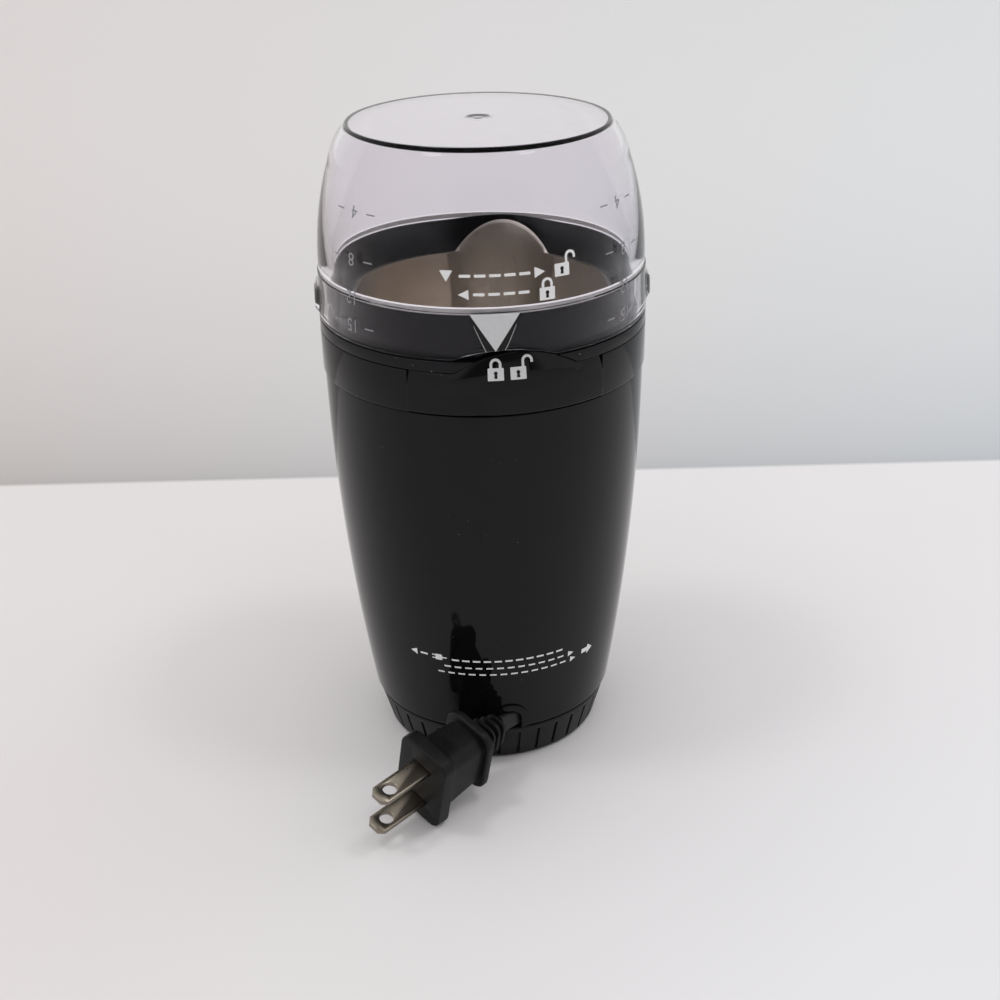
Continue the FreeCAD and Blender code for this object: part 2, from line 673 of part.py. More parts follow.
def chopping_blade():
    hub = ring(SHAFT_R + 0.02, 7.0, KNIFE_Z, KNIFE_Z + KNIFE_THICKNESS)
    arms = []
    for turn, tilt in ((0, -ARM_UP), (180, ARM_DOWN)):
        inner = Part.makePolygon([Vec(4.5, -4.5, 0), Vec(KNIFE_BEND_AT + 0.1, -5.5, 0),
                                  Vec(KNIFE_BEND_AT + 0.1, 3.0, 0), Vec(4.5, 4.5, 0), Vec(4.5, -4.5, 0)])
        flat = Part.Face(inner).extrude(Vec(0, 0, KNIFE_THICKNESS))
        outer = Part.makePolygon([Vec(KNIFE_BEND_AT, -5.5, 0), Vec(25.5, -3.2, 0), Vec(27.0, 0.5, 0),
                                  Vec(25.0, 3.0, 0), Vec(KNIFE_BEND_AT, 3.0, 0), Vec(KNIFE_BEND_AT, -5.5, 0)])
        tip = Part.Face(outer).extrude(Vec(0, 0, KNIFE_THICKNESS))
        tip.rotate(Vec(KNIFE_BEND_AT, 0, KNIFE_THICKNESS / 2), Vec(0, 1, 0), tilt)
        arm = flat.fuse(tip)
        arm.translate(Vec(0, 0, KNIFE_Z))
        arms.append(turned(arm, turn + 35))
    return hub.fuse(arms).cut(disc(SHAFT_R + 0.02, 95, 110)).removeSplitter()


def blade_collar():
    return ring(SHAFT_R + 0.02, 5.2, KNIFE_Z - 1.7, KNIFE_Z)


def blade_nut():
    flat_to_flat = 9.0
    corner = flat_to_flat / math.sqrt(3)
    low_z = KNIFE_Z + KNIFE_THICKNESS + 0.1
    corners = [at(corner, 60 * i, low_z) for i in range(7)]
    hexagon = Part.Face(Part.makePolygon(corners)).extrude(Vec(0, 0, NUT_HEIGHT))
    dome = Part.makeCone(4.5, 3.4, 1.0, Vec(0, 0, low_z + NUT_HEIGHT))
    return hexagon.fuse(dome).cut(disc(SHAFT_R + 0.02, 95, SHAFT_TOP_Z + 0.02))


def motor_shaft():
    top = Part.makeCone(SHAFT_R, SHAFT_R - 0.6, 0.6, Vec(0, 0, SHAFT_TOP_Z - 1.0))
    return disc(SHAFT_R, SHAFT_BOTTOM_Z, SHAFT_TOP_Z - 1.0).fuse(top).removeSplitter()


# Chassis and slip contacts

def chassis_plate():
    plate = disc(body_radius(CHASSIS_Z, BODY_WALL) - 0.2, CHASSIS_Z, CHASSIS_Z + CHASSIS_THICKNESS)
    post = disc(POST_R, REEL_BOTTOM_Z, CHASSIS_Z + 0.5)
    holes = [rod(1.5, at(BOSS_AT, az, 0), 20, 30) for az in chassis_screw_azimuths]
    return plate.fuse(post).removeSplitter().cut(holes + [disc(1.25, REEL_BOTTOM_Z - 1, 17)])


SLIP_RADII = (15.5, 21.5)
WIRE_R = 0.9
WIRE_Y = 29.6
WIRE_BEND = 8.0


def slip_rings():
    return Part.makeCompound([ring(r - 1.8, r + 1.8, REEL_TOP_Z, REEL_TOP_Z + 0.7) for r in SLIP_RADII])


def slip_contacts():
    leaves = [block(8.0, r - 1.3, r + 1.3, REEL_TOP_Z + 1.0, CHASSIS_Z, 90) for r in SLIP_RADII]
    return Part.makeCompound(leaves)


def inner_wires():
    # Two insulated wires from the chassis up to the switch
    wires = []
    for side in (-1, 1):
        low = Vec(side * 9.0, WIRE_Y, CHASSIS_Z + CHASSIS_THICKNESS)
        bend = Vec(side * 9.0, WIRE_Y, 52)
        high = Vec(side * 7.0, WIRE_Y + 1.2, BUTTON_Z - 6.1)
        start_arc = bend - (bend - low).normalize() * WIRE_BEND
        end_arc = bend + (high - bend).normalize() * WIRE_BEND
        first = (bend - low).normalize()
        second = (high - bend).normalize()
        inward = (second - first).normalize()
        half_turn = first.getAngle(second) / 2
        radius = WIRE_BEND / math.tan(half_turn)
        middle = bend + inward * (radius / math.cos(half_turn) - radius)
        path = Part.Wire([Part.LineSegment(low, start_arc).toShape(),
                          Part.Arc(start_arc, middle, end_arc).toShape(),
                          Part.LineSegment(end_arc, high).toShape()])
        profile = Part.Wire([Part.makeCircle(WIRE_R, low, first)])
        wires.append(path.makePipeShell([profile], True, False))
    return Part.makeCompound(wires)


# Reel, winding and twist base

def cord_reel():
    hub = ring(POST_R + 0.06, 11.8, REEL_BOTTOM_Z, REEL_TOP_Z)
    low = ring(POST_R + 0.06, 30.2, REEL_BOTTOM_Z, REEL_BOTTOM_Z + FLANGE_THICKNESS)
    high = ring(POST_R + 0.06, 32.2, REEL_TOP_Z - FLANGE_THICKNESS, REEL_TOP_Z)
    return hub.fuse([low, high]).removeSplitter()


def cord_winding():
    # The wound cord's outer shape: two layers of flat turns, standing on edge
    return ring(12.0, COIL_R, REEL_BOTTOM_Z + FLANGE_THICKNESS + 0.1, REEL_TOP_Z - FLANGE_THICKNESS - 0.2)


GRIP_GROOVES = 36
GRIP_WALL_IN = 30.6
GROOVE_WIDTH = 1.0
GROOVE_LENGTH = 9.3
GROOVE_FROM_Z = 1.7


def grip_ring():
    body = spun((GRIP_WALL_IN, 0.6), (GRIP_BOTTOM_R - 0.4, 0.6), (GRIP_BOTTOM_R + 0.2, 1.2),
                (GRIP_TOP_R, GRIP_TOP_Z - 0.6), (GRIP_TOP_R - 0.6, GRIP_TOP_Z), (33.0, GRIP_TOP_Z),
                (33.0, BODY_BOTTOM_Z + 0.2), (GRIP_WALL_IN, BODY_BOTTOM_Z + 0.2),
                (GRIP_WALL_IN, REEL_BOTTOM_Z), (9.0, REEL_BOTTOM_Z), (9.0, 3.8), (GRIP_WALL_IN, 3.8))
    lean = math.degrees(math.atan((GRIP_TOP_R - GRIP_BOTTOM_R) / (GRIP_TOP_Z - 0.6)))
    grooves = []
    for i in range(GRIP_GROOVES):
        bar = Part.makeBox(GROOVE_WIDTH, 2.0, GROOVE_LENGTH,
                           Vec(-GROOVE_WIDTH / 2, -GRIP_BOTTOM_R - 1.45, GROOVE_FROM_Z))
        bar.rotate(Vec(0, -GRIP_BOTTOM_R, GROOVE_FROM_Z), Vec(1, 0, 0), lean)
        grooves.append(turned(bar, (i + 0.5) * 360 / GRIP_GROOVES))
    return body.cut(grooves)


def base_cover():
    return disc(30.4, PAD_THICKNESS, 2.8).fuse(ring(27.0, 30.4, 2.7, 3.8)).removeSplitter()


def foot_pad():
    return disc(29.6, 0, PAD_THICKNESS)


def reel_screw():
    return disc(1.25, 4.6, 16).fuse(disc(3.6, 3.2, 4.6)).removeSplitter()


def reel_washer():
    return ring(1.3, 8.5, 4.61, REEL_BOTTOM_Z - 0.2)


# Cord lead and plug

roll_turn = math.radians(PLUG_ROLL)
pitch_turn = math.radians(PLUG_PITCH)
level_side = Vec(-cord_way.y, cord_way.x, 0)
plug_forward = cord_way * math.cos(pitch_turn) - UP * math.sin(pitch_turn)
plug_up = cord_way * math.sin(pitch_turn) + UP * math.cos(pitch_turn)
plug_side = level_side * math.cos(roll_turn) - plug_up * math.sin(roll_turn)
plug_normal = plug_up * math.cos(roll_turn) + level_side * math.sin(roll_turn)


def onto_plug(shape):
    # From the plug's own axes, X out of its face and Z across its two blades, to the part's
    f, s, n = plug_forward, plug_side, plug_normal
    o = outlet_point
    turn = FreeCAD.Matrix(f.x, s.x, n.x, o.x, f.y, s.y, n.y, o.y, f.z, s.z, n.z, o.z, 0, 0, 0, 1)
    copy = shape.copy()
    copy.Placement = FreeCAD.Placement(turn).multiply(copy.Placement)
    return copy


def slab(x_from, x_to, width, height, corner):
    box = Part.makeBox(x_to - x_from, width, height, Vec(x_from, -width / 2, -height / 2))
    long_edges = [e for e in box.Edges if abs(e.tangentAt(e.FirstParameter).x) > 0.9]
    return box.makeFillet(corner, long_edges)


def cord_lead():
    start = -lead_inside + 0.9
    bar = cord_bar(CORD_THICKNESS, CORD_WIDTH, start, BOOT_START - 0.5)
    along = [e for e in bar.Edges if abs(e.tangentAt(e.FirstParameter).dot(cord_way)) > 0.9]
    return bar.makeFillet(CORD_THICKNESS / 2 - 0.05, along)


def cord_boot():
    low_end = FIN_START + FIN_PITCH / 2
    core_low = slab(BOOT_START, low_end + 0.1, 4.4, 7.0, 1.6)
    core = slab(low_end, GUARD_START, 5.6, 8.4, 2.0)
    fins = []
    for i in range(FIN_COUNT):
        start = FIN_START + FIN_PITCH * i
        fins.append(slab(start, start + FIN_THICKNESS, 7.0 + 0.9 * i, 9.6 + i, 2.4))
    return onto_plug(core_low.fuse([core] + fins))


def blade_bar(side, grow=0.0):
    z = side * BLADE_SPACING / 2
    start = PLUG_FACE - BLADE_ROOT - grow
    end = PLUG_FACE + BLADE_LENGTH
    width = BLADE_WIDTH + 2 * grow
    bar = Part.makeBox(end - start, width, BLADE_THICKNESS + 2 * grow,
                       Vec(start, -width / 2, z - BLADE_THICKNESS / 2 - grow))
    return bar


def end_wire(x, width, height, corner):
    plate = slab(x, x + 1.0, width, height, corner)
    return min(plate.Faces, key=lambda face: face.CenterOfMass.x).OuterWire


def plug_body():
    guard = slab(GUARD_START, GUARD_START + GUARD_THICKNESS, GUARD_WIDTH, GUARD_HEIGHT, 4.5)
    narrow = end_wire(GUARD_START + GUARD_THICKNESS - 0.1, WAIST_WIDTH - 0.6, WAIST_HEIGHT - 4.0, 4.0)
    wide = end_wire(BLOCK_START + 0.1, WAIST_WIDTH, WAIST_HEIGHT, 4.0)
    waist = Part.makeLoft([narrow, wide], True, True)
    block = slab(BLOCK_START, PLUG_FACE, BLOCK_WIDTH, BLOCK_HEIGHT, 3.0)
    rims = [e for e in block.Edges if e.BoundBox.XLength < 1e-6 and e.CenterOfMass.x < BLOCK_START + 0.1]
    block = block.makeChamfer(1.0, rims)
    body = guard.fuse([waist, block]).removeSplitter()
    return onto_plug(body.cut([blade_bar(1), blade_bar(-1)]))


def plug_blades():
    blades = []
    for side in (-1, 1):
        bar = blade_bar(side)
        tips = [e for e in bar.Edges if abs(e.tangentAt(e.FirstParameter).z) > 0.9
                and e.CenterOfMass.x > PLUG_FACE + 10]
        bar = bar.makeChamfer(1.5, tips)
        hole = Part.makeCylinder(BLADE_HOLE_R, 20, Vec(PLUG_FACE + BLADE_HOLE_FROM_FACE, 0, side * 10 - 10))
        blades.append(onto_plug(bar.cut(hole)))
    return Part.makeCompound(blades)


save("lid", lid())
save("lid_pointer", lid_pointer())
save("lid_seal", lid_seal())
save("neck_ring", neck_ring())
save("grinding_bowl", grinding_bowl())
save("collar_band", collar_band())
save("lock_panel", lock_panel())
save("housing", housing())
save("outlet_bezel", outlet_bezel())
save("power_button", power_button())
save("button_bezel", button_bezel())
save("button_spring", button_spring())
save("switch_plunger", switch_plunger())
save("switch_body", switch_body())
save("motor_deck", motor_deck())
save("deck_screws", screws(deck_screw_azimuths, DECK_SCREW_AT, DECK_Z + 2.5, DECK_Z - 2.5))
save("rubber_mounts", rubber_mounts())
save("upper_bracket", upper_bracket())
save("lower_bracket", lower_bracket())
save("motor_bolts", motor_bolts())
save("upper_bearing", bearing(UPPER_BEARING_Z))
save("lower_bearing", bearing(LOWER_BEARING_Z))
save("stator_core", stator_core())
save("field_coils", field_coils())
save("brush_holders", brush_holders())
save("carbon_brushes", carbon_brushes())
save("brush_springs", brush_springs())
save("shaft_seal", shaft_seal())
save("motor_shaft", motor_shaft())
save("armature_core", armature_core())
save("armature_windings", armature_windings())
save("commutator", commutator())
save("cooling_fan", cooling_fan())
save("blade_collar", blade_collar())
save("chopping_blade", chopping_blade())
save("blade_nut", blade_nut())
save("chassis_plate", chassis_plate())
save("chassis_screws", screws(chassis_screw_azimuths, BOSS_AT, CHASSIS_Z, CHASSIS_Z + 10))
save("slip_contacts", slip_contacts())
save("inner_wires", inner_wires())
save("slip_rings", slip_rings())
save("cord_reel", cord_reel())
save("cord_winding", cord_winding())
save("grip_ring", grip_ring())
save("base_cover", base_cover())
save("foot_pad", foot_pad())
save("reel_screw", reel_screw())
save("reel_washer", reel_washer())
save("cord_lead", cord_lead())
save("cord_boot", cord_boot())
save("plug_body", plug_body())
save("plug_blades", plug_blades())
print("cord inside the housing mm", round(lead_inside, 1), "line from the axis mm", round(line_offset, 2))
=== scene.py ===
import bpy
import math
from mathutils import Matrix, Vector


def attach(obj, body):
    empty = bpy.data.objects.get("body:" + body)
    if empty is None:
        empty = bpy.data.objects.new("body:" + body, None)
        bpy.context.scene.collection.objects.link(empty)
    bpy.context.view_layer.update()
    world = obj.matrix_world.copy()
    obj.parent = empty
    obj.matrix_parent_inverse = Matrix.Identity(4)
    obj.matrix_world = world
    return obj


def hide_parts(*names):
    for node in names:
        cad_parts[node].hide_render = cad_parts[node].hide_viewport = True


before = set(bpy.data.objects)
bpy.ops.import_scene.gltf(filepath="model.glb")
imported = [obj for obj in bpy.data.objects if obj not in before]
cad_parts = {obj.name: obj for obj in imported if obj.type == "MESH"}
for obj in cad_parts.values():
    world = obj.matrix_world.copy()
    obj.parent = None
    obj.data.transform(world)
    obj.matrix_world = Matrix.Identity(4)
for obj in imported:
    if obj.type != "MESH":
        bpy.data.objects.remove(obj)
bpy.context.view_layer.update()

mm = 0.001   # lengths below are written in millimetres

# The padlock signs and the cord outlet face -Y. Azimuths run anticlockwise from there, seen from above.
pointerAzimuth = -3.75   # the lid's pointer, a quarter turn from each of its bumps


def at(radius, azimuth, z):
    turn = math.radians(azimuth)
    return Vector((radius * math.sin(turn), -radius * math.cos(turn), z)) * mm


def azimuthOf(point):
    return math.degrees(math.atan2(point.x, -point.y))


def smooth(value):
    value = min(1.0, max(0.0, value))
    return value * value * (3 - 2 * value)


# Camera

cameraLook = {
    "place": (-49.08, -372.78, 260.03),
    "yaw": 0.560,
    "pitch": 26.806,
    "roll": -1.217,
    "turn": -7.5,       # the grinder stands turned by this much before the camera
    "lens": 50.97,
    "sensor": 36.0,
}


def cameraAxes(look):
    yaw, pitch, roll = (math.radians(look[name]) for name in ("yaw", "pitch", "roll"))
    ahead = Vector((math.sin(yaw) * math.cos(pitch), math.cos(yaw) * math.cos(pitch), -math.sin(pitch)))
    level = Vector((math.cos(yaw), -math.sin(yaw), 0))
    above = level.cross(ahead)
    right = level * math.cos(roll) + above * math.sin(roll)
    up = above * math.cos(roll) - level * math.sin(roll)
    axes = Matrix((right, up, -ahead)).transposed()
    return Matrix.Rotation(math.radians(look["turn"]), 3, "Z") @ axes


def makeCamera(look):
    data = bpy.data.cameras.new("photoCamera")
    data.sensor_width = look["sensor"]
    data.lens = look["lens"]
    data.clip_start = 0.01
    camera = bpy.data.objects.new("photoCamera", data)
    bpy.context.scene.collection.objects.link(camera)
    camera.matrix_world = Matrix.Translation(Vector(look["place"]) * mm) @ cameraAxes(look).to_4x4()
    bpy.context.scene.camera = camera


makeCamera(cameraLook)
print("camera placed")


# Shader maths

class Wire:
    # A socket that sums like a number: the maths nodes are added as the sums are written
    def __init__(self, finish, socket):
        self.finish = finish
        self.socket = socket

    def maths(self, operation, first, second):
        return self.finish.add("ShaderNodeMath", {"operation": operation}, {0: first, 1: second})

    def __add__(self, other):
        return self.maths("ADD", self, other)

    def __radd__(self, other):
        return self.maths("ADD", other, self)

    def __sub__(self, other):
        return self.maths("SUBTRACT", self, other)

    def __rsub__(self, other):
        return self.maths("SUBTRACT", other, self)

    def __mul__(self, other):
        return self.maths("MULTIPLY", self, other)

    def __rmul__(self, other):
        return self.maths("MULTIPLY", other, self)

    def __truediv__(self, other):
        return self.maths("DIVIDE", self, other)

    def __rtruediv__(self, other):
        return self.maths("DIVIDE", other, self)

    def __gt__(self, other):
        return self.maths("GREATER_THAN", self, other)

    def __lt__(self, other):
        return self.maths("LESS_THAN", self, other)


class Finish:
    # A material and its nodes. Constants go on the shader's own sockets.
    def __init__(self, name, constants=None):
        self.material = bpy.data.materials.new(name)
        self.material.use_nodes = True
        self.tree = self.material.node_tree
        self.shader = self.tree.nodes["Principled BSDF"]
        for socket, value in (constants or {}).items():
            self.shader.inputs[socket].default_value = value

    def add(self, kind, settings=None, sockets=None, out=0):
        node = self.tree.nodes.new(kind)
        for name, value in (settings or {}).items():
            setattr(node, name, value)
        for name, value in (sockets or {}).items():
            self.feed(node.inputs[name], value)
        return Wire(self, node.outputs[out])

    def feed(self, socket, value):
        if isinstance(value, Wire):
            self.tree.links.new(value.socket, socket)
        else:
            socket.default_value = value

    def gives(self, socket, value):
        self.feed(self.shader.inputs[socket], value)

    def spot(self, stretch=(1, 1, 1)):
        # The point on the object, in metres, stretched along each axis
        here = self.add("ShaderNodeTexCoord", out="Object")
        return self.add("ShaderNodeVectorMath", {"operation": "MULTIPLY"}, {0: here, 1: stretch})

    def noise(self, size, detail=2.0, stretch=(1, 1, 1), roughness=0.5):
        # Cloudy values round 0.5; size is a cloud's width in millimetres
        return self.add("ShaderNodeTexNoise", {}, {
            "Vector": self.spot(stretch), "Scale": 1 / (size * mm), "Detail": detail, "Roughness": roughness})

    def specks(self, size, share):
        # 1 inside small round specks and 0 elsewhere; share is how much of its cell a speck fills
        cells = self.add("ShaderNodeTexVoronoi", {"feature": "F1"}, {
            "Vector": self.spot(), "Scale": 1 / (size * mm), "Randomness": 1.0})
        return cells < share

    def span(self, value, low, high, newLow=0.0, newHigh=1.0):
        return self.add("ShaderNodeMapRange", {"clamp": True}, {
            "Value": value, "From Min": low, "From Max": high, "To Min": newLow, "To Max": newHigh})

    def mix(self, share, first, second):
        # Mix's colour sockets are 6 and 7, and its colour result is 2
        return self.add("ShaderNodeMix", {"data_type": "RGBA"}, {0: share, 6: first, 7: second}, out=2)

    def bump(self, height, distance):
        # distance is the height of the bumps in millimetres
        self.gives("Normal", self.add("ShaderNodeBump", {}, {
            "Height": height, "Distance": distance * mm, "Strength": 1.0}))


def shade(red, green, blue):
    # A colour from its 0-255 screen values
    def linear(value):
        value = value / 255
        return value / 12.92 if value <= 0.04045 else ((value + 0.055) / 1.055) ** 2.4
    return (linear(red), linear(green), linear(blue), 1.0)


def scaled(colour, factor, floor=0.0):
    # The same hue, darker or lighter
    return tuple(min(1.0, c * factor + floor) for c in colour[:3]) + (1.0,)


# Finishes

def glossBlack(name, colour, roughness, specular, dust=0.0, wave=0.012):
    # Moulded gloss plastic: a faint ripple, wiped patches and a little dust
    f = Finish(name, {"IOR": 1.5, "Specular IOR Level": specular})
    patches = f.span(f.noise(14, 3), 0.45, 0.72)
    fine = f.noise(0.9, 4)
    f.gives("Roughness", roughness + patches * 0.05 + fine * 0.02)
    specks = f.specks(2.6, 0.055) * f.span(f.noise(9, 2), 0.5, 0.6) * dust
    worn = f.mix(patches * 0.35, colour, scaled(colour, 1.5))
    f.gives("Base Color", f.mix(specks, worn, shade(150, 148, 145)))
    f.bump(f.noise(11, 1) + fine * 0.06, wave)
    return f.material


def grainBlack(name, colour, roughness, grain, size, specular=0.4):
    # Textured or matt plastic and rubber
    f = Finish(name, {"IOR": 1.48, "Specular IOR Level": specular})
    cloud = f.noise(7, 3)
    fine = f.noise(size, 5, roughness=0.65)
    f.gives("Roughness", roughness + (cloud - 0.5) * 0.16)
    rubbed = scaled(colour, 1.9, 0.004)
    f.gives("Base Color", f.mix(f.span(cloud + fine * 0.5, 0.62, 1.0), colour, rubbed))
    f.bump(fine, grain)
    return f.material


def rolledMetal(name, colour, roughness, size, stretch, depth):
    # Metal with fine lines along one way and faint stains
    f = Finish(name, {"Metallic": 1.0})
    lines = f.noise(size, 4, stretch, 0.6)
    cloud = f.noise(8, 3)
    stain = f.span(cloud, 0.42, 0.75) * 0.25 + lines * 0.15
    f.gives("Base Color", f.mix(stain, colour, scaled(colour, 0.72)))
    f.gives("Roughness", roughness + (lines - 0.5) * 0.14 + (cloud - 0.5) * 0.1)
    f.bump(lines, depth)
    return f.material


def plainPlastic(name, colour, roughness, size=0.6):
    # Moulded plastic of the inner parts
    f = Finish(name, {"IOR": 1.5, "Specular IOR Level": 0.4})
    cloud = f.noise(6, 3)
    fine = f.noise(size, 4)
    f.gives("Base Color", f.mix(f.span(cloud, 0.4, 0.7) * 0.6, colour, scaled(colour, 0.8)))
    f.gives("Roughness", roughness + (fine - 0.5) * 0.12)
    f.bump(fine, 0.02)
    return f.material


def clearPlastic(name, tint, roughness):
    # The lid: faint haze and scuffs in clear styrene, whose tint keeps its reflections faint
    f = Finish(name, {"IOR": 1.45, "Transmission Weight": 1.0, "Specular Tint": (0.22, 0.22, 0.23, 1.0)})
    haze = f.span(f.noise(10, 3), 0.5, 0.75)
    scuffs = f.span(f.noise(1.6, 3, (1, 1, 0.12)), 0.66, 0.74)
    f.gives("Base Color", f.mix(haze * 0.3, tint, scaled(tint, 0.97)))
    f.gives("Roughness", roughness + haze * 0.012 + scuffs * 0.03)
    f.bump(f.noise(16, 1), 0.02)
    return f.material


def satinSteel(name, colour, paintedHighlight, centre, roughness):
    # Drawn steel, brushed round the bowl, with water marks, and a painted highlight: the colour turns
    # brighter and warmer in a patch round a centre, in millimetres
    f = Finish(name, {"Metallic": 1.0})
    lines = f.noise(1.0, 3, (0.18, 0.18, 6.0), 0.7)
    cloud = f.noise(9, 4)
    marks = f.span(f.noise(3.2, 4), 0.58, 0.7)
    away = f.add("ShaderNodeVectorMath", {"operation": "DISTANCE"},
                 {0: f.add("ShaderNodeTexCoord", out="Object"), 1: Vector(centre) * mm}, out="Value")
    # Painted highlight: full within 8 mm of the centre, gone by 34 mm
    paintedHighlightShare = f.span(away, 8 * mm, 34 * mm, 1.0, 0.0)
    worn = f.mix(marks * 0.3 + f.span(cloud, 0.4, 0.8) * 0.3, colour, scaled(colour, 0.7))
    f.gives("Base Color", f.mix(paintedHighlightShare * paintedHighlightShare, worn, paintedHighlight))
    f.gives("Roughness", roughness + (lines - 0.5) * 0.16 + marks * 0.06)
    f.bump(lines, 0.006)
    return f.material


def printInk(name, colour):
    # Pad-printed ink, thin in places
    f = Finish(name, {"Roughness": 0.45, "IOR": 1.5, "Specular IOR Level": 0.3})
    thin = f.span(f.noise(0.35, 3), 0.52, 0.75)
    f.gives("Base Color", f.mix(thin * 0.35, colour, scaled(colour, 0.55)))
    return f.material


def copperWire(name):
    # Turns of enamelled wire lying side by side round the axis
    f = Finish(name, {"Metallic": 1.0, "Roughness": 0.3})
    turns = f.add("ShaderNodeTexWave", {"wave_type": "BANDS", "bands_direction": "Z"}, {
        "Vector": f.spot(), "Scale": 700.0, "Distortion": 0.6, "Detail": 2.0})
    f.gives("Base Color", f.mix(f.noise(4, 3), shade(190, 104, 62), shade(142, 66, 36)))
    f.bump(turns, 0.12)
    return f.material


finishes = {
    "body_black": glossBlack("bodyGlossBlack", shade(13, 13, 14), 0.045, 0.2, dust=0.35),
    "collarBlack": glossBlack("collarGlossBlack", shade(14, 13, 15), 0.06, 0.2, dust=0.2),
    "neckBlack": glossBlack("neckDustyBlack", shade(13, 14, 17), 0.15, 0.2, dust=0.9),
    "grip_black": grainBlack("gripSatinBlack", shade(18, 18, 20), 0.42, 0.02, 0.35, 0.25),
    "plug_black": grainBlack("plugSoftBlack", shade(11, 11, 12), 0.45, 0.02, 0.4, 0.2),
    "cord_black": grainBlack("cordSoftBlack", shade(15, 15, 16), 0.5, 0.02, 0.5),
    "soft_rubber": grainBlack("footRubber", shade(30, 30, 31), 0.75, 0.05, 0.4),
    "button_grey": grainBlack("buttonSatinGrey", shade(92, 93, 96), 0.4, 0.015, 0.3),
    "clear_plastic": clearPlastic("lidClear", shade(247, 245, 249), 0.012),
    # The seal is pale all round; its colour also stands in for a bright band at the lid's step, a painted
    # highlight
    "seal_silicone": plainPlastic("sealPaintedHighlight", shade(232, 230, 228), 0.4, 0.4),
    "print_grey": printInk("printPale", shade(205, 206, 208)),
    "whiteInk": printInk("printWhite", shade(236, 236, 236)),
    "scaleInk": printInk("printScaleGrey", shade(142, 142, 146)),
    "holeInk": printInk("printBlack", shade(14, 14, 15)),
    # The bowl's steel has a painted highlight, a bright warm patch of colour at its left, just below the rim
    "satin_steel": satinSteel("bowlSatinSteelPaintedHighlight", shade(222, 215, 205), shade(255, 240, 222), (-22, 26, 124),
                              0.32),
    "nickel_brass": rolledMetal("bladeNickel", shade(142, 134, 122), 0.3, 0.5, (1, 1, 1), 0.006),
    "blade_steel": rolledMetal("chopperSteel", shade(200, 200, 202), 0.24, 0.7, (0.3, 2, 1), 0.006),
    "shaft_steel": rolledMetal("shaftSteel", shade(190, 190, 192), 0.25, 0.5, (1, 1, 6), 0.006),
    "bearing_steel": rolledMetal("bearingSteel", shade(180, 182, 186), 0.22, 0.5, (1, 1, 6), 0.006),
    "bracket_metal": rolledMetal("bracketAluminium", shade(186, 188, 190), 0.4, 1.2, (1, 1, 1), 0.02),
    "screw_steel": rolledMetal("screwSteel", shade(170, 170, 172), 0.35, 0.5, (1, 1, 3), 0.01),
    "spring_steel": rolledMetal("springSteel", shade(160, 160, 164), 0.3, 0.5, (1, 1, 5), 0.02),
    "contact_brass": rolledMetal("contactBrass", shade(202, 168, 96), 0.3, 0.6, (2, 1, 1), 0.008),
    "copper_bars": rolledMetal("commutatorCopper", shade(196, 120, 78), 0.3, 0.7, (6, 6, 0.4), 0.03),
    "lamination": rolledMetal("laminationSteel", shade(112, 112, 116), 0.5, 0.5, (0.2, 0.2, 4), 0.05),
    "copper_wire": copperWire("windingCopper"),
    "carbon": grainBlack("brushCarbon", shade(36, 36, 38), 0.6, 0.03, 0.3),
    "inner_plastic": plainPlastic("innerNylon", shade(214, 210, 200), 0.5),
    "wire_sleeve": plainPlastic("wireSleeve", shade(226, 226, 224), 0.45, 0.4),
}
print("finishes mixed:", len(finishes))


# Modelling helpers

def clear():
    if bpy.context.mode != "OBJECT":
        bpy.ops.object.mode_set(mode="OBJECT")
    bpy.ops.object.select_all(action="DESELECT")


def pick(piece):
    clear()
    piece.select_set(True)
    bpy.context.view_layer.objects.active = piece


def editAll(piece):
    pick(piece)
    bpy.ops.object.mode_set(mode="EDIT")
    bpy.ops.mesh.select_mode(type="VERT")
    bpy.ops.mesh.select_all(action="SELECT")


def arcPoints(start, middle, end, spacing):
    # Points after start on the circle through three points
    corners = (start, middle, end)
    after = (middle, end, start)
    before = (end, start, middle)
    twice = 2 * sum(p[0] * (q[1] - r[1]) for p, q, r in zip(corners, after, before))
    x = sum((p[0] ** 2 + p[1] ** 2) * (q[1] - r[1]) for p, q, r in zip(corners, after, before)) / twice
    y = sum((p[0] ** 2 + p[1] ** 2) * (r[0] - q[0]) for p, q, r in zip(corners, after, before)) / twice
    radius = math.hypot(start[0] - x, start[1] - y)
    first, via, final = (math.atan2(p[1] - y, p[0] - x) for p in corners)
    full = 2 * math.pi
    sweep = (final - first) % full
    if (via - first) % full > sweep:
        sweep -= full
    count = max(4, math.ceil(abs(sweep) * radius / spacing))
    turns = [first + sweep * i / count for i in range(1, count + 1)]
    return [(x + radius * math.cos(turn), y + radius * math.sin(turn)) for turn in turns]


def outline(start, *steps, spacing=1.5, lines=None):
    # A step is a point, or for an arc a pair: a point on it and its end. lines splits straight runs too.
    points = [start]
    for step in steps:
        here = points[-1]
        if isinstance(step[0], tuple):
            points += arcPoints(here, step[0], step[1], spacing)
            continue
        count = 1 if lines is None else max(1, round(math.dist(here, step) / lines))
        points += [(here[0] + (step[0] - here[0]) * i / count, here[1] + (step[1] - here[1]) * i / count)
                   for i in range(1, count + 1)]
    return points


def vertexChain(name, points):
    # One vertex of a shrunk plane is pulled along the points, which are in metres
    clear()
    bpy.ops.mesh.primitive_plane_add(size=2 * mm)
    piece = bpy.context.object
    piece.name = name
    bpy.ops.object.mode_set(mode="EDIT")
    bpy.ops.mesh.select_mode(type="VERT")
    bpy.ops.mesh.select_all(action="SELECT")
    bpy.ops.mesh.merge(type="CENTER")
    bpy.ops.transform.translate(value=points[0])
    for here, there in zip(points, points[1:]):
        bpy.ops.mesh.extrude_region_move(TRANSFORM_OT_translate={"value": there - here})
    bpy.ops.mesh.select_all(action="SELECT")
    bpy.ops.mesh.remove_doubles(threshold=1e-6)
    return piece


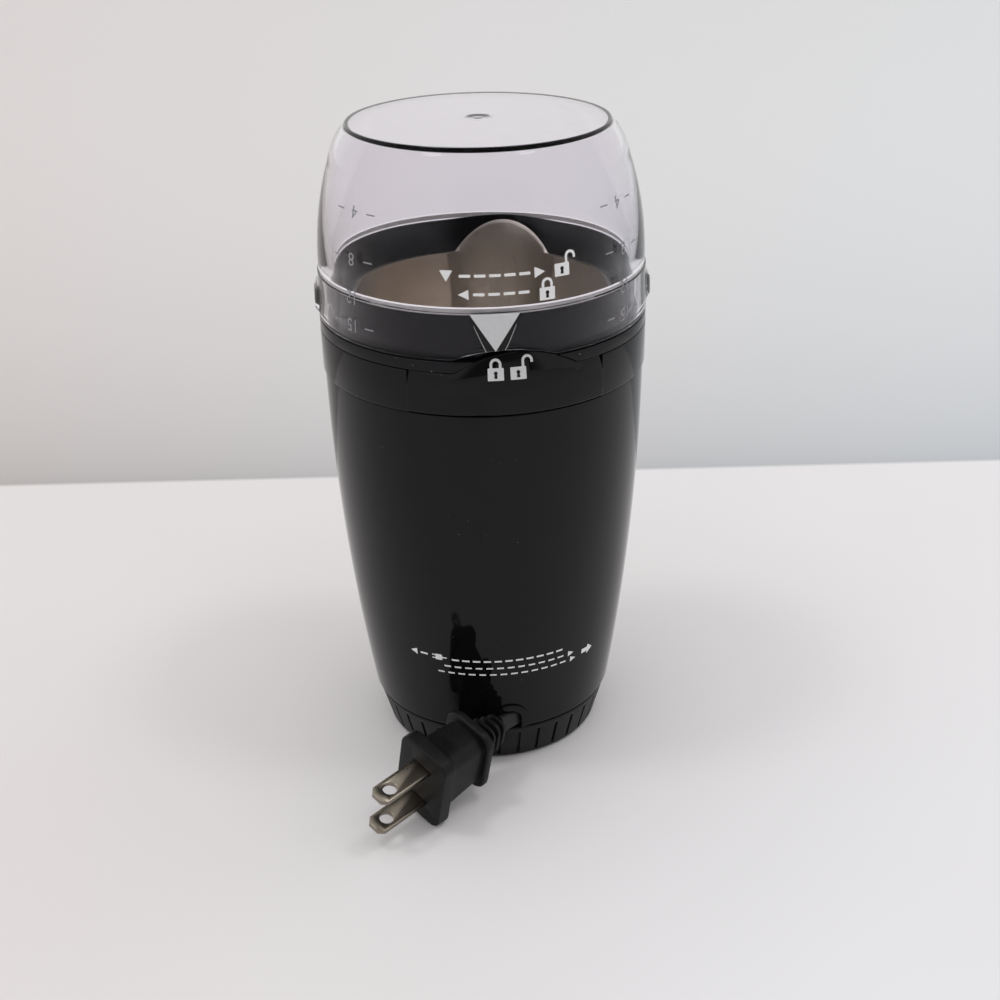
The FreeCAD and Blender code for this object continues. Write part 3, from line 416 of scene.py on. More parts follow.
def lathe(name, points, steps=160, fromAzimuth=0.0, sweep=360.0):
    # Spins an outline of (radius, height) points. A part turn gets its two ends closed.
    loop = points if sweep == 360.0 and points[0][0] == 0 else points + [points[0]]
    piece = vertexChain(name, [at(r, fromAzimuth, z) for r, z in loop])
    if sweep != 360.0:
        bpy.ops.mesh.edge_face_add()
    bpy.ops.mesh.spin(steps=steps, angle=math.radians(-sweep), center=(0, 0, 0), axis=(0, 0, 1))
    bpy.ops.mesh.select_all(action="SELECT")
    bpy.ops.mesh.remove_doubles(threshold=1e-6)
    bpy.ops.mesh.delete_loose(use_verts=True, use_edges=True, use_faces=False)
    bpy.ops.mesh.select_all(action="SELECT")
    bpy.ops.mesh.normals_make_consistent(inside=False)
    bpy.ops.object.mode_set(mode="OBJECT")
    return piece


def cube(name, low, high):
    # A block from its lowest and highest corner, in millimetres
    clear()
    middle = [(a + b) / 2 * mm for a, b in zip(low, high)]
    bpy.ops.mesh.primitive_cube_add(size=1, location=middle)
    piece = bpy.context.object
    piece.name = name
    piece.scale = [(b - a) * mm for a, b in zip(low, high)]
    bpy.ops.object.transform_apply(location=True, rotation=True, scale=True)
    return piece


def rod(name, radius, low, high, axis="Z", centre=(0, 0, 0), sides=64):
    # A drum along an axis from low to high
    clear()
    where = Vector(centre)
    where["XYZ".index(axis)] = (low + high) / 2
    turn = {"X": (0, math.pi / 2, 0), "Y": (math.pi / 2, 0, 0), "Z": (0, 0, 0)}[axis]
    bpy.ops.mesh.primitive_cylinder_add(vertices=sides, radius=radius * mm, depth=(high - low) * mm,
                                        location=where * mm, rotation=turn)
    piece = bpy.context.object
    piece.name = name
    bpy.ops.object.transform_apply(location=True, rotation=True, scale=True)
    return piece


def combine(piece, others, operation="DIFFERENCE"):
    # Boolean with one or more other pieces, which are used up
    others = others if isinstance(others, list) else [others]
    for other in others:
        pick(piece)
        modifier = piece.modifiers.new("combine", "BOOLEAN")
        modifier.operation = operation
        modifier.solver = "MANIFOLD"
        modifier.object = other
        bpy.ops.object.modifier_apply(modifier=modifier.name)
        bpy.data.objects.remove(other)
    return piece


def join(piece, others):
    pick(piece)
    for other in others:
        other.select_set(True)
    bpy.ops.object.join()
    return piece


def bevelled(piece, width, segments=2, limit=40):
    pick(piece)
    modifier = piece.modifiers.new("edges", "BEVEL")
    modifier.width = width * mm
    modifier.segments = segments
    modifier.limit_method = "ANGLE"
    modifier.angle_limit = math.radians(limit)
    modifier.use_clamp_overlap = True
    modifier.miter_outer = "MITER_ARC"
    bpy.ops.object.modifier_apply(modifier=modifier.name)
    return piece


def finished(piece, slot, body, replaced=(), finish=None, angle=35):
    # Smooth shading, its finish, the body it rides on and the nodes that it stands for
    pick(piece)
    bpy.ops.object.shade_smooth_by_angle(angle=math.radians(angle))
    piece.data.materials.clear()
    piece.data.materials.append(finishes[finish or slot])
    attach(piece, body)
    if replaced:
        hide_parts(*replaced)
    return piece


def turnedCopy(piece, azimuth):
    # A copy with its own mesh, turned round the part's axis
    copy = piece.copy()
    copy.data = piece.data.copy()
    bpy.context.scene.collection.objects.link(copy)
    copy.data.transform(Matrix.Rotation(math.radians(azimuth), 4, "Z"))
    return copy


# Housing

housingLook = {
    "bottom": (36.2, 13.3),
    "middle": (42.9, 71.5),
    "top": (44.65, 116.3),
    "wall": 2.4,
    "outletHalf": 4.3,      # the hole behind the outlet's frame
    "outletTop": 21.2,
    "buttonZ": 78.0,
    "buttonHole": 12.0,
    "rim": 126.0,           # the upright sleeve under the neck
    "sleeve": (40.3, 42.4),
    "waist": 37.3,          # the ledge below the motor's deck
    "steps": 180,
}


def sideRadius(z, inset=0.0):
    # The housing's side is one circle through its bottom, middle and top
    look = housingLook
    side = arcPoints(look["bottom"], look["middle"], look["top"], 0.5)
    side = [look["bottom"]] + side
    for (r1, z1), (r2, z2) in zip(side, side[1:]):
        if z <= z2 or (r2, z2) == side[-1]:
            return r1 + (r2 - r1) * (z - z1) / (z2 - z1) - inset


def archCutter(name, half, low, top, nearY, farY):
    block = cube(name, (-half, -farY, low), (half, -nearY, top - half))
    cap = rod(name + "Cap", half, -farY, -nearY, "Y", (0, 0, top - half))
    return combine(block, cap, "UNION")


def sideArc(low, high, inset=0.0):
    middle = (low + high) / 2
    return ((sideRadius(middle, inset), middle), (sideRadius(high, inset), high))


def makeHousing(look):
    wall, rim, waist = look["wall"], look["rim"], look["waist"]
    foot, top = look["bottom"][1], look["top"][1]
    sleeveIn, sleeveOut = look["sleeve"]
    points = outline(
        (sideRadius(foot, wall), foot), (look["bottom"][0] - 0.6, foot),
        ((sideRadius(13.5) - 0.12, 13.5), (sideRadius(14.0), 14.0)),
        sideArc(14.0, 116.0), ((44.58, 116.22), (44.4, top)), (sleeveOut, top), (sleeveOut, rim),
        (sleeveIn, rim), (sleeveIn, 112.0), (sideRadius(108.0, wall), 108.0),
        sideArc(108.0, 92.0, wall), (waist, 92.0),
        (waist, 87.5), (sideRadius(85.0, wall), 85.0), sideArc(85.0, foot + 0.1, wall), spacing=1.6)
    shell = lathe("motorHousing", points, look["steps"])
    outlet = archCutter("outletCut", look["outletHalf"], 12.0, look["outletTop"], 30.0, 41.0)
    button = rod("buttonCut", look["buttonHole"], 34.0, 54.0, "Y", (0, 0, look["buttonZ"]), 96)
    combine(shell, [outlet, button])
    return finished(shell, "body_black", "housing", ["housing"])


motorHousing = makeHousing(housingLook)
print("housing made")


# Collar and the panel with the padlock signs

collarLook = {
    "low": 116.5,
    "high": 128.1,
    "radius": 45.15,
    "inner": 42.5,
}

panelLook = {
    "from": -33.5,
    "to": 35.3,
    "low": 116.9,
    "groove": 128.1,
    "radius": 45.5,
    "lean": 12.0,           # the face above the crease leans in by this angle
    "creaseEnds": 122.9,
    "creaseRise": 3.6,
    "tongueX": 2.65,
    "tongueTop": 133.3,
    "tongueRadius": 27.96,
    "inner": 42.9,
}


def bowHeight(x, centre, radius, top):
    # Height of a wide bow's edge over x
    reach = radius ** 2 - (x - centre) ** 2
    return top - radius + math.sqrt(reach) if reach > 0 else -1000.0


def makeCollar(look, panel):
    points = outline(
        (look["inner"], look["low"]), (look["radius"] - 0.45, look["low"]),
        ((look["radius"] - 0.13, look["low"] + 0.13), (look["radius"], look["low"] + 0.45)),
        (look["radius"], look["high"] - 0.4),
        ((look["radius"] - 0.12, look["high"] - 0.12), (look["radius"] - 0.4, look["high"])),
        (look["inner"], look["high"]), spacing=0.2)
    band = lathe("collarBand", points, 180)
    seat = lathe("panelSeat", [(panel["inner"] - 0.05, 110.0), (50.0, 110.0), (50.0, 140.0),
                               (panel["inner"] - 0.05, 140.0)],
                 60, panel["from"] - 0.04, panel["to"] - panel["from"] + 0.08)
    combine(band, seat)
    return finished(band, "body_black", "housing", ["collar_band"], "collarBlack")


def makePanel(look):
    # Rows: rounded lower edge, flat face, crease, leaning face. The crease and the top are then bowed.
    crease, top = 124.0, 134.0
    points = outline(
        (look["inner"], look["low"]), (look["radius"] - 0.4, look["low"]),
        ((look["radius"] - 0.12, look["low"] + 0.12), (look["radius"], look["low"] + 0.4)),
        (look["radius"], 120.0), (look["radius"], crease), (look["radius"], top), (look["inner"], top),
        spacing=0.2)
    panel = lathe("lockPanel", points, 80, look["from"], look["to"] - look["from"])
    lean = math.tan(math.radians(look["lean"]))
    reach = (look["to"] - look["from"]) / 2
    for vertex in panel.data.vertices:
        azimuth = azimuthOf(vertex.co)
        radius = vertex.co.xy.length / mm
        across = (azimuth - (look["from"] + look["to"]) / 2) / reach
        creaseZ = look["creaseEnds"] + look["creaseRise"] * (1 - across ** 2)
        z = vertex.co.z / mm
        if abs(z - crease) < 0.01:
            vertex.co.z = creaseZ * mm
        if z > crease + 1:
            bow = bowHeight(vertex.co.x / mm, look["tongueX"], look["tongueRadius"], look["tongueTop"])
            z = max(look["groove"], bow)
            if radius > look["inner"] + 0.5:
                radius = look["radius"] - lean * (z - creaseZ)
            vertex.co = at(radius, azimuth, z)
    bevelled(panel, 0.16, 2, 30)
    return finished(panel, "body_black", "housing", ["lock_panel"], "collarBlack", 20)


makeCollar(collarLook, panelLook)
lockPanel = makePanel(panelLook)
print("collar and lock panel made")


# Neck and steel bowl

neckLook = {
    "outer": 42.3,
    "top": 143.0,
    "coneFoot": 38.7,
    "coneMouth": 41.3,
    "rim": 133.3,           # the steel rim's height
    "swell": 1.1,           # the rim's rise behind the chute
    "swellHalf": 27.0,
    "tabs": (90.0, -90.0),
    "tabLow": 135.0,
    "tabHigh": 139.0,
    "tabOuter": 44.1,
}

bowlLook = {
    "radius": 37.2,
    "rim": 133.3,
    "floor": 97.0,
    "draft": 0.118,
    "corner": 7.0,
    "steel": 0.8,
    "chuteAzimuth": 162.5,
    "chuteOffset": 18.9,
    "chuteRadius": 21.9,
    "chuteSteel": 0.4,
    "chuteTop": 143.4,
    "shaftHole": 5.5,
}


def cupOutline(look, radius, thick, top, floorLift=0.0, lip=0.0):
    # Half the section of a drafted cup with a round corner, and a lip round its rim
    floor = look["floor"] + floorLift
    cornerTop = floor + look["corner"]
    foot = radius - look["draft"] * (look["rim"] - cornerTop) + thick
    corner = look["corner"] + thick
    under = floor - thick
    bend = corner * math.sqrt(0.5)
    points = outline((0, under), (foot - corner, under),
                     ((foot - corner + bend, under + corner - bend), (foot, under + corner)),
                     (radius + thick, look["rim"] - 1.0), spacing=1.2)
    if lip:
        points.append((lip, look["rim"] - 1.0))
        points.append((lip, top))
    else:
        points.append((radius + thick, top))
    return points + [(0, top)]


def makeChute(name, look, thick, top):
    # The pouring chute is a smaller cup set towards the back, whose wall runs on up to the neck's mouth
    cup = lathe(name, cupOutline(look, look["chuteRadius"], thick, top, 0.15), 128)
    editAll(cup)
    bpy.ops.transform.translate(value=at(look["chuteOffset"], look["chuteAzimuth"], 0))
    bpy.ops.object.mode_set(mode="OBJECT")
    return cup


def makeCone(name, neck):
    slope = (neck["coneMouth"] - neck["coneFoot"]) / (neck["top"] - neck["rim"])
    low, high = neck["rim"] + 0.02, neck["top"] + 3
    return lathe(name, [(0, low), (neck["coneFoot"], low),
                        (neck["coneFoot"] + slope * (high - low), high), (0, high)], 144)


def makeBowl(look, neck):
    bowl = lathe("grindingBowl", cupOutline(look, look["radius"], look["steel"], look["rim"], 0.0,
                                            neck["coneFoot"] - 0.1), 144)
    combine(bowl, makeChute("chuteOuter", look, look["chuteSteel"], look["chuteTop"]), "UNION")
    combine(bowl, makeCone("coneCut", neck))
    hollow = lathe("bowlHollow", cupOutline(look, look["radius"], 0.0, look["rim"] + 9), 144)
    combine(hollow, makeChute("chuteInner", look, 0.0, look["chuteTop"] + 2), "UNION")
    combine(bowl, [hollow, rod("shaftCut", look["shaftHole"], 90.0, 99.0)])
    bevelled(bowl, 0.1, 2, 50)
    return finished(bowl, "satin_steel", "housing", ["grinding_bowl"], angle=28)


def makeNeck(look, bowl, panel):
    seat = bowl["radius"] + bowl["steel"] + 0.1
    body = lathe("neckRing", outline(
        (seat, 121.0), (40.0, 121.0), (40.0, 126.2), (42.3, 126.2), (42.3, 128.3), (44.9, 128.3),
        ((45.05, 128.36), (45.1, 128.5)), (45.1, 131.0), ((45.0, 131.2), (44.7, 131.3)),
        (look["outer"], 131.3), (look["outer"], 141.0), (look["outer"], look["top"] - 0.4),
        ((look["outer"] - 0.12, look["top"] - 0.12), (look["outer"] - 0.4, look["top"])),
        (look["coneFoot"], look["top"]), (look["coneFoot"], look["rim"] - 0.98), (seat, look["rim"] - 0.98),
        spacing=0.2), 240)
    # The rim swells up behind the chute
    for vertex in body.data.vertices:
        off = abs((azimuthOf(vertex.co) - bowl["chuteAzimuth"] + 180) % 360 - 180)
        if vertex.co.z > (look["top"] - 0.8) * mm:
            vertex.co.z += look["swell"] * smooth(1 - off / look["swellHalf"]) * mm
    drum = rod("panelDrum", panel["tongueRadius"] + 0.12, -50.0, -30.0, "Y",
               (panel["tongueX"], 0, panel["tongueTop"] - panel["tongueRadius"]), 160)
    ring = lathe("panelRing", [(panel["inner"] - 0.06, 127.0), (47.0, 127.0), (47.0, 134.0),
                               (panel["inner"] - 0.06, 134.0)], 240)
    combine(drum, ring, "INTERSECT")
    chute = makeChute("chuteCut", bowl, bowl["chuteSteel"], bowl["chuteTop"] + 3)
    combine(body, [makeCone("coneCut", look), chute, drum])
    bevelled(body, 0.12, 2, 50)
    low, high, outer = look["tabLow"], look["tabHigh"], look["tabOuter"]
    tabs = outline((41.5, low), (outer - 0.4, low), ((outer - 0.1, low + 0.1), (outer, low + 0.4)),
                   (outer, high - 0.3), ((outer - 0.1, high - 0.1), (outer - 0.3, high)), (41.5, high),
                   spacing=0.2)
    join(body, [lathe("neckTab", tabs, 10, azimuth - 4, 8) for azimuth in look["tabs"]])
    return finished(body, "body_black", "housing", ["neck_ring"], "neckBlack", 28)


makeBowl(bowlLook, neckLook)
makeNeck(neckLook, bowlLook, panelLook)
print("neck and bowl made")


# Lid

lidLook = {
    "skirtZ": 131.6,
    "skirt": 45.2,
    "inner": 43.4,
    "stepZ": 144.1,
    "topZ": 182.4,
    "topRadius": 34.9,
    "topThick": 1.7,
    "ledge": 144.9,
    "steps": 240,
    "notchX": -0.2,
    "notchRadius": 38.05,
    "notchTop": 134.0,
    "bumpHalf": 11.0,
    "bumpProud": 1.1,
    "bumpLow": 133.0,
    "bumpHigh": 141.0,
}


def makeLid(look):
    low, skirt, step, top = look["skirtZ"], look["skirt"], look["stepZ"], look["topZ"]
    underTop = top - look["topThick"]
    outer = outline((look["inner"] + 0.2, low), (skirt - 0.5, low),
                    ((skirt - 0.1, low + 0.3), (skirt, low + 0.9)), spacing=0.25)
    outer += outline((skirt, low + 0.9), (skirt - 0.4, step), lines=0.8)[1:]
    outer += outline((skirt - 0.4, step), (skirt - 0.7, step + 0.3), ((43.2, 160.5), (40.0, 173.0)),
                     ((37.9, 178.6), (look["topRadius"] + 0.29, top - 0.5)))[1:]
    outer += outline((look["topRadius"] + 0.29, top - 0.5),
                     ((look["topRadius"] + 0.08, top - 0.15), (look["topRadius"] - 0.3, top)),
                     (look["topRadius"] - 0.6, top), spacing=0.2)[1:]
    # The moulding gate leaves a small nub and ring at the middle of the top
    outer += [(20.0, top), (6.0, top), (2.2, top), (1.9, top - 0.04), (1.1, top - 0.05), (0.9, top - 0.01),
              (0, top - 0.01)]
    inner = outline((0, underTop), (18.0, underTop), (33.7, underTop), (34.0, underTop),
                    ((36.6, 177.4), (38.4, 172.3)), ((41.1, 160.5), (41.6, 147.0)),
                    (41.6, look["ledge"]), (look["inner"], look["ledge"]))
    inner += outline((look["inner"], look["ledge"]), (look["inner"], low + 0.2), lines=0.8)[1:]
    lid = lathe("lidClear", outer + inner, look["steps"])
    bumpAt = [pointerAzimuth + 90, pointerAzimuth - 90]
    for vertex in lid.data.vertices:
        azimuth = azimuthOf(vertex.co)
        radius = vertex.co.xy.length / mm
        z = vertex.co.z / mm
        x = vertex.co.x / mm
        if z < 142 and abs(azimuth) < 40:
            # The skirt's lower edge bows up over the padlock signs
            bow = max(low, bowHeight(x, look["notchX"], look["notchRadius"], look["notchTop"]))
            vertex.co.z = (142 - (142 - z) * (142 - bow) / (142 - low)) * mm
        for middle in bumpAt:
            off = look["bumpHalf"] - abs(azimuth - middle)
            rise = min(z - look["bumpLow"], look["bumpHigh"] - z)
            if radius > 44.2 and off > 0 and rise > 0:
                grown = radius + look["bumpProud"] * smooth(off / 3.0) * smooth(rise / 1.8)
                vertex.co = at(grown, azimuth, z)
    return finished(lid, "clear_plastic", "lid", ["lid"], angle=40)


def makePointer(name, half, tip, proud):
    # A raised triangle on the skirt, point down: a strip of the skirt trimmed by two slanting planes
    top = lidLook["stepZ"] - 0.25
    strip = lathe(name, [(44.9, tip - 1), (45.2 + proud, tip - 1), (44.85 + proud, top), (44.6, top)],
                  24, pointerAzimuth - half, 2 * half)
    for side in (-1, 1):
        corner = at(45.2, pointerAzimuth + side * half, top)
        point = at(45.2, pointerAzimuth, tip)
        outward = at(1, pointerAzimuth + side * half / 2, 0)
        normal = (corner - point).cross(outward).normalized() * side
        editAll(strip)
        bpy.ops.mesh.bisect(plane_co=point, plane_no=normal, use_fill=True, clear_outer=True)
        bpy.ops.object.mode_set(mode="OBJECT")
    return finished(bevelled(strip, 0.06, 1, 50), "print_grey", "lid", ["lid_pointer"])


def makeSeal():
    # A seal ring at the lid's step, whose pale colour partly stands in for a painted highlight there
    seal = lathe("lidSeal", outline(
        (42.6, 143.2), (43.0, 143.2), ((43.07, 143.23), (43.1, 143.3)), (43.1, 144.5),
        ((43.0, 144.65), (42.85, 144.7)), ((42.7, 144.65), (42.6, 144.5)), spacing=0.1), 160)
    return finished(seal, "seal_silicone", "lid_lift_ring", ["lid_seal"])


lidClear = makeLid(lidLook)
makePointer("lidPointer", 7.9, 134.3, 0.38)
makeSeal()
print("lid made")


# Twist base

gripLook = {
    "topRadius": 35.4,
    "footRadius": 32.3,
    "top": 12.3,
    "foot": 0.6,
    "inner": 30.6,
    "grooves": 36,
    "grooveWidth": 1.0,
    "grooveSpan": (1.7, 11.0),
}


def makeGrip(look):
    body = lathe("gripRing", outline(
        (look["inner"], 0.6), (look["footRadius"] - 0.5, 0.6),
        ((look["footRadius"] - 0.02, 0.75), (look["footRadius"] + 0.22, 1.3)), (look["topRadius"], 11.6),
        ((look["topRadius"] - 0.12, 12.12), (look["topRadius"] - 0.55, 12.3)), (33.0, 12.3), (33.0, 13.5),
        (look["inner"], 13.5), (look["inner"], 5.6), (9.0, 5.6), (9.0, 3.8), (look["inner"], 3.8),
        spacing=0.3), 180)
    # The grooves lean with the ring's side
    lean = math.atan((look["topRadius"] - look["footRadius"]) / (look["top"] - look["foot"]))
    half, foot, (low, high) = look["grooveWidth"] / 2, look["footRadius"], look["grooveSpan"]
    first = cube("grooveCut", (-half, -foot - 1.45, low), (half, -foot + 0.55, high))
    editAll(first)
    bpy.ops.transform.rotate(value=-lean, orient_axis="X", center_override=(0, -foot * mm, low * mm))
    bpy.ops.object.mode_set(mode="OBJECT")
    bevelled(first, 0.3, 3)
    every = 360 / look["grooves"]
    cutters = [turnedCopy(first, (i + 0.5) * every) for i in range(look["grooves"])]
    bpy.data.objects.remove(first)
    cutter = join(cutters[0], cutters[1:])
    combine(body, cutter)
    bevelled(body, 0.12, 2, 45)
    return finished(body, "grip_black", "twist_base", ["grip_ring"], angle=30)


def makeFoot():
    pad = lathe("footPad", outline(
        (0, 0.3), (11.0, 0.3), (11.4, 0.0), (12.6, 0.0), (13.0, 0.3), (18.0, 0.3), (18.4, 0.0), (19.6, 0.0),
        (20.0, 0.3), (24.6, 0.3), (25.0, 0.0), (29.1, 0.0), ((29.45, 0.15), (29.6, 0.5)), (29.6, 1.2),
        ((29.54, 1.34), (29.4, 1.4)), (0, 1.4), spacing=0.2), 128)
    return finished(pad, "soft_rubber", "twist_base", ["foot_pad"])


makeGrip(gripLook)
makeFoot()
print("twist base made")


# Cord outlet

outletLook = {
    "half": 3.5,
    "top": 20.3,
    "band": 2.1,
    "proud": 0.5,
}


def shellSlice(name, inset, low, high, wall):
    # A slice of the housing's wall, grown or shrunk by inset
    points = outline((sideRadius(low, inset + wall), low), (sideRadius(low, inset), low),
                     sideArc(low, high, inset), (sideRadius(high, inset + wall), high),
                     sideArc(high, low, inset + wall), spacing=1.0)
    return lathe(name, points, 180)


def makeOutlet(look):
    half = look["half"] + look["band"]
    frameArch = archCutter("outletFrame", half, 13.6, look["top"] + look["band"], 30.0, 41.0)
    hole = archCutter("outletHole", look["half"], 12.0, look["top"], 29.0, 42.0)
    combine(frameArch, shellSlice("outletShell", -look["proud"], 13.4, 40.0, 3.1), "INTERSECT")
    combine(frameArch, hole)
    bevelled(frameArch, 0.3, 3, 45)
    return finished(frameArch, "body_black", "housing", ["outlet_bezel"])


makeOutlet(outletLook)
print("cord outlet made")


# Plug and the end of the cord

plugLook = {
    "azimuth": -53.0,
    "outlet": (0.0, -36.6, 16.8),
    "pitch": 4.0,
    "roll": 15.2,
    "boot": 4.5,
    "fins": 4,
    "firstFin": 5.4,
    "finPitch": 2.6,
    "guard": 16.0,
    "guardEnd": 18.5,
    "block": 31.0,
    "face": 36.0,
    "bladeRoot": 6.0,
    "bladeLength": 16.5,
    "bladeWidth": 6.35,
    "bladeThick": 1.52,
    "spacing": 12.7,
    "hole": 2.0,
    "holeFromFace": 11.7,
    "cord": (2.8, 5.6),
}


def plugMatrix(look):
    # From the plug's own axes, X out of its face and Z across its two blades, to the grinder's
    roll, pitch = math.radians(look["roll"]), math.radians(look["pitch"])
    way = at(1 / mm, look["azimuth"], 0)
    level = Vector((-way.y, way.x, 0))
    up = Vector((0, 0, 1))
    forward = way * math.cos(pitch) - up * math.sin(pitch)
    above = way * math.sin(pitch) + up * math.cos(pitch)
    side = level * math.cos(roll) - above * math.sin(roll)
    normal = above * math.cos(roll) + level * math.sin(roll)
    turn = Matrix((forward, side, normal)).transposed().to_4x4()
    return Matrix.Translation(Vector(look["outlet"]) * mm) @ turn


def ontoPlug(piece, look):
    piece.data.transform(plugMatrix(look))
    return piece


def rounded(name, stations, corner, cuts=3):
    # A bar along X: a square is pulled through (x, width, height) stations, then its long edges are rounded
    clear()
    x, width, height = stations[0]
    bpy.ops.mesh.primitive_plane_add(size=1, rotation=(0, math.pi / 2, 0))
    bar = bpy.context.object
    bar.name = name
    bpy.ops.object.transform_apply(location=True, rotation=True, scale=True)
    editAll(bar)
    bpy.ops.transform.resize(value=(1, width * mm, height * mm))
    bpy.ops.transform.translate(value=(x * mm, 0, 0))
    bpy.ops.mesh.bevel(offset=corner * mm, segments=cuts, affect="VERTICES")
    for (x0, w0, h0), (x1, w1, h1) in zip(stations, stations[1:]):
        bpy.ops.mesh.extrude_region_move(TRANSFORM_OT_translate={"value": ((x1 - x0) * mm, 0, 0)})
        bpy.ops.transform.resize(value=(1, w1 / w0, h1 / h0), center_override=(x1 * mm, 0, 0))
    bpy.ops.mesh.select_all(action="SELECT")
    bpy.ops.mesh.normals_make_consistent(inside=False)
    bpy.ops.object.mode_set(mode="OBJECT")
    return bar


def bladeBlock(name, look, side, start, end, around=0.0):
    # The room of one blade from start to end, grown by around
    z = side * look["spacing"] / 2
    wide, high = look["bladeWidth"] / 2 + around, look["bladeThick"] / 2 + around
    return cube(name, (start, -wide, z - high), (end, wide, z + high))


def makePlug(look):
    guard, guardEnd, block, face = look["guard"], look["guardEnd"], look["block"], look["face"]
    # A thin face block, a grip that tapers back from it, and the thin guard behind
    body = rounded("plugBody", [(face, 17.0, 25.4), (face - 0.35, 17.5, 25.9), (block + 1.0, 17.6, 26.0),
                                (block, 15.7, 24.1)], 3.0, 4)
    grip = rounded("plugGrip", [(block + 0.3, 14.0, 20.5), (block - 3.0, 13.9, 19.6),
                                (guardEnd - 0.3, 13.4, 16.5)], 3.6, 4)
    collar = rounded("plugGuard", [(guardEnd, 16.2, 21.2), (guardEnd - 0.5, 17.0, 22.0),
                                   (guard + 0.5, 17.0, 22.0), (guard, 16.2, 21.2)], 4.2, 5)
    combine(body, [grip, collar], "UNION")
    combine(body, [bladeBlock("slot", look, side, face - 1.2, face + 1, 0.12) for side in (-1, 1)])
    bevelled(body, 0.25, 3, 32)
    return finished(ontoPlug(body, look), "plug_black", "plug", ["plug_body"], angle=40)


def makeBlades(look):
    blades = []
    for side in (-1, 1):
        tip = look["face"] + look["bladeLength"]
        bar = bladeBlock("blade", look, side, look["face"] - look["bladeRoot"], tip)
        # The tip's corners are cut off, then the blade is drilled
        pick(bar)
        bpy.ops.object.mode_set(mode="EDIT")
        bpy.ops.mesh.select_all(action="DESELECT")
        bpy.ops.mesh.select_mode(type="EDGE")
        bpy.ops.object.mode_set(mode="OBJECT")
        for edge in bar.data.edges:
            ends = [bar.data.vertices[i].co for i in edge.vertices]
            upright = abs(ends[0].x - ends[1].x) < 1e-5 and abs(ends[0].y - ends[1].y) < 1e-5
            edge.select = upright and ends[0].x > (tip - 1) * mm
        bpy.ops.object.mode_set(mode="EDIT")
        bpy.ops.mesh.bevel(offset=1.5 * mm, segments=1, affect="EDGES")
        bpy.ops.object.mode_set(mode="OBJECT")
        z = side * look["spacing"] / 2
        drill = rod("drill", look["hole"], z - 4, z + 4, "Z", (look["face"] + look["holeFromFace"], 0, 0), 48)
        combine(bar, drill)
        bevelled(bar, 0.15, 2, 50)
        blades.append(bar)
    both = join(blades[0], blades[1:])
    both.name = "plugBlades"
    return finished(ontoPlug(both, look), "nickel_brass", "plug", ["plug_blades"], angle=40)


def makeBoot(look):
    start, end = look["boot"], look["guard"]
    core = rounded("cordBoot", [(start, 4.0, 6.6), (look["firstFin"], 4.8, 7.4), (end + 0.3, 6.2, 9.0)],
                   1.6, 4)
    fins = []
    for i in range(look["fins"]):
        x = look["firstFin"] + look["finPitch"] * i
        wide, high = 7.0 + 0.9 * i, 9.6 + i
        edge = (wide - 0.7, high - 0.7)
        fins.append(rounded("bootFin", [(x, *edge), (x + 0.3, wide, high), (x + 0.9, wide, high),
                                        (x + 1.2, *edge)], 2.3, 4))
    combine(core, fins, "UNION")
    bevelled(core, 0.12, 2, 50)
    return finished(ontoPlug(core, look), "plug_black", "plug", ["cord_boot"], angle=45)


def makeLead(look):
    # The flat cord runs level from the winding, through the outlet, to 0.4 mm short of the boot's start
    lead = rounded("cordLead", [(x, *look["cord"]) for x in (-21.0, -10.0, look["boot"] - 0.4)], 1.3, 4)
    way = at(1 / mm, look["azimuth"], 0)
    turn = Matrix((way, Vector((-way.y, way.x, 0)), Vector((0, 0, 1)))).transposed().to_4x4()
    lead.data.transform(Matrix.Translation(Vector(look["outlet"]) * mm) @ turn)
    return finished(lead, "cord_black", "plug", ["cord_lead"], angle=50)


makePlug(plugLook)
makeBlades(plugLook)
makeBoot(plugLook)
makeLead(plugLook)
print("plug and cord end made")


# Power button

buttonLook = {
    "z": 78.0,
    "radius": 10.5,
    "ring": 13.4,
    "back": 37.6,
    "flange": 12.0,
    "proud": 0.88,
    "gap": 0.35,
}


def ontoBack(piece, look):
    # From a lathe's upright axis to the button's, which points out at +Y
    lift = Matrix.Translation(Vector((0, 0, look["z"])) * mm)
    piece.data.transform(lift @ Matrix.Rotation(-math.pi / 2, 4, "X"))
    return piece


def makeButton(look):
    face = sideRadius(look["z"]) + look["proud"]
    back, radius, flange = look["back"], look["radius"], look["flange"]
    cap = lathe("powerButton", outline(
        (0, back), (flange, back), (flange, back + 1.6), (radius, back + 1.6), (radius, face - 0.8),
        ((radius - 0.24, face - 0.24), (radius - 0.9, face)), (radius - 1.8, face),
        ((5.0, face - 0.75), (0, face - 1.0)), spacing=0.5), 96)
    finished(ontoBack(cap, look), "button_grey", "button", ["power_button"])
    sign = lathe("powerSign", outline((2.6, face - 0.96), (3.3, face - 0.9), (3.3, face - 0.82),
                                      (2.6, face - 0.86), spacing=0.5), 48, 25, 310)
    bar = cube("powerSignBar", (-0.36, -3.9, face - 1.0), (0.36, -1.2, face - 0.84))
    join(sign, [bar])
    finished(ontoBack(sign, look), "print_grey", "button")


def makeButtonRing(look):
    ring = rod("buttonRing", look["ring"], 39.5, 50.0, "Y", (0, 0, look["z"]), 128)
    combine(ring, shellSlice("ringShell", -0.6, 60.0, 96.0, 3.2), "INTERSECT")
    combine(ring, rod("ringHole", look["radius"] + look["gap"], 34.0, 54.0, "Y", (0, 0, look["z"]), 128))
    bevelled(ring, 0.25, 3, 45)
    return finished(ring, "body_black", "housing", ["button_bezel"], "collarBlack")


makeButton(buttonLook)
makeButtonRing(buttonLook)
print("power button made")


# Printed signs

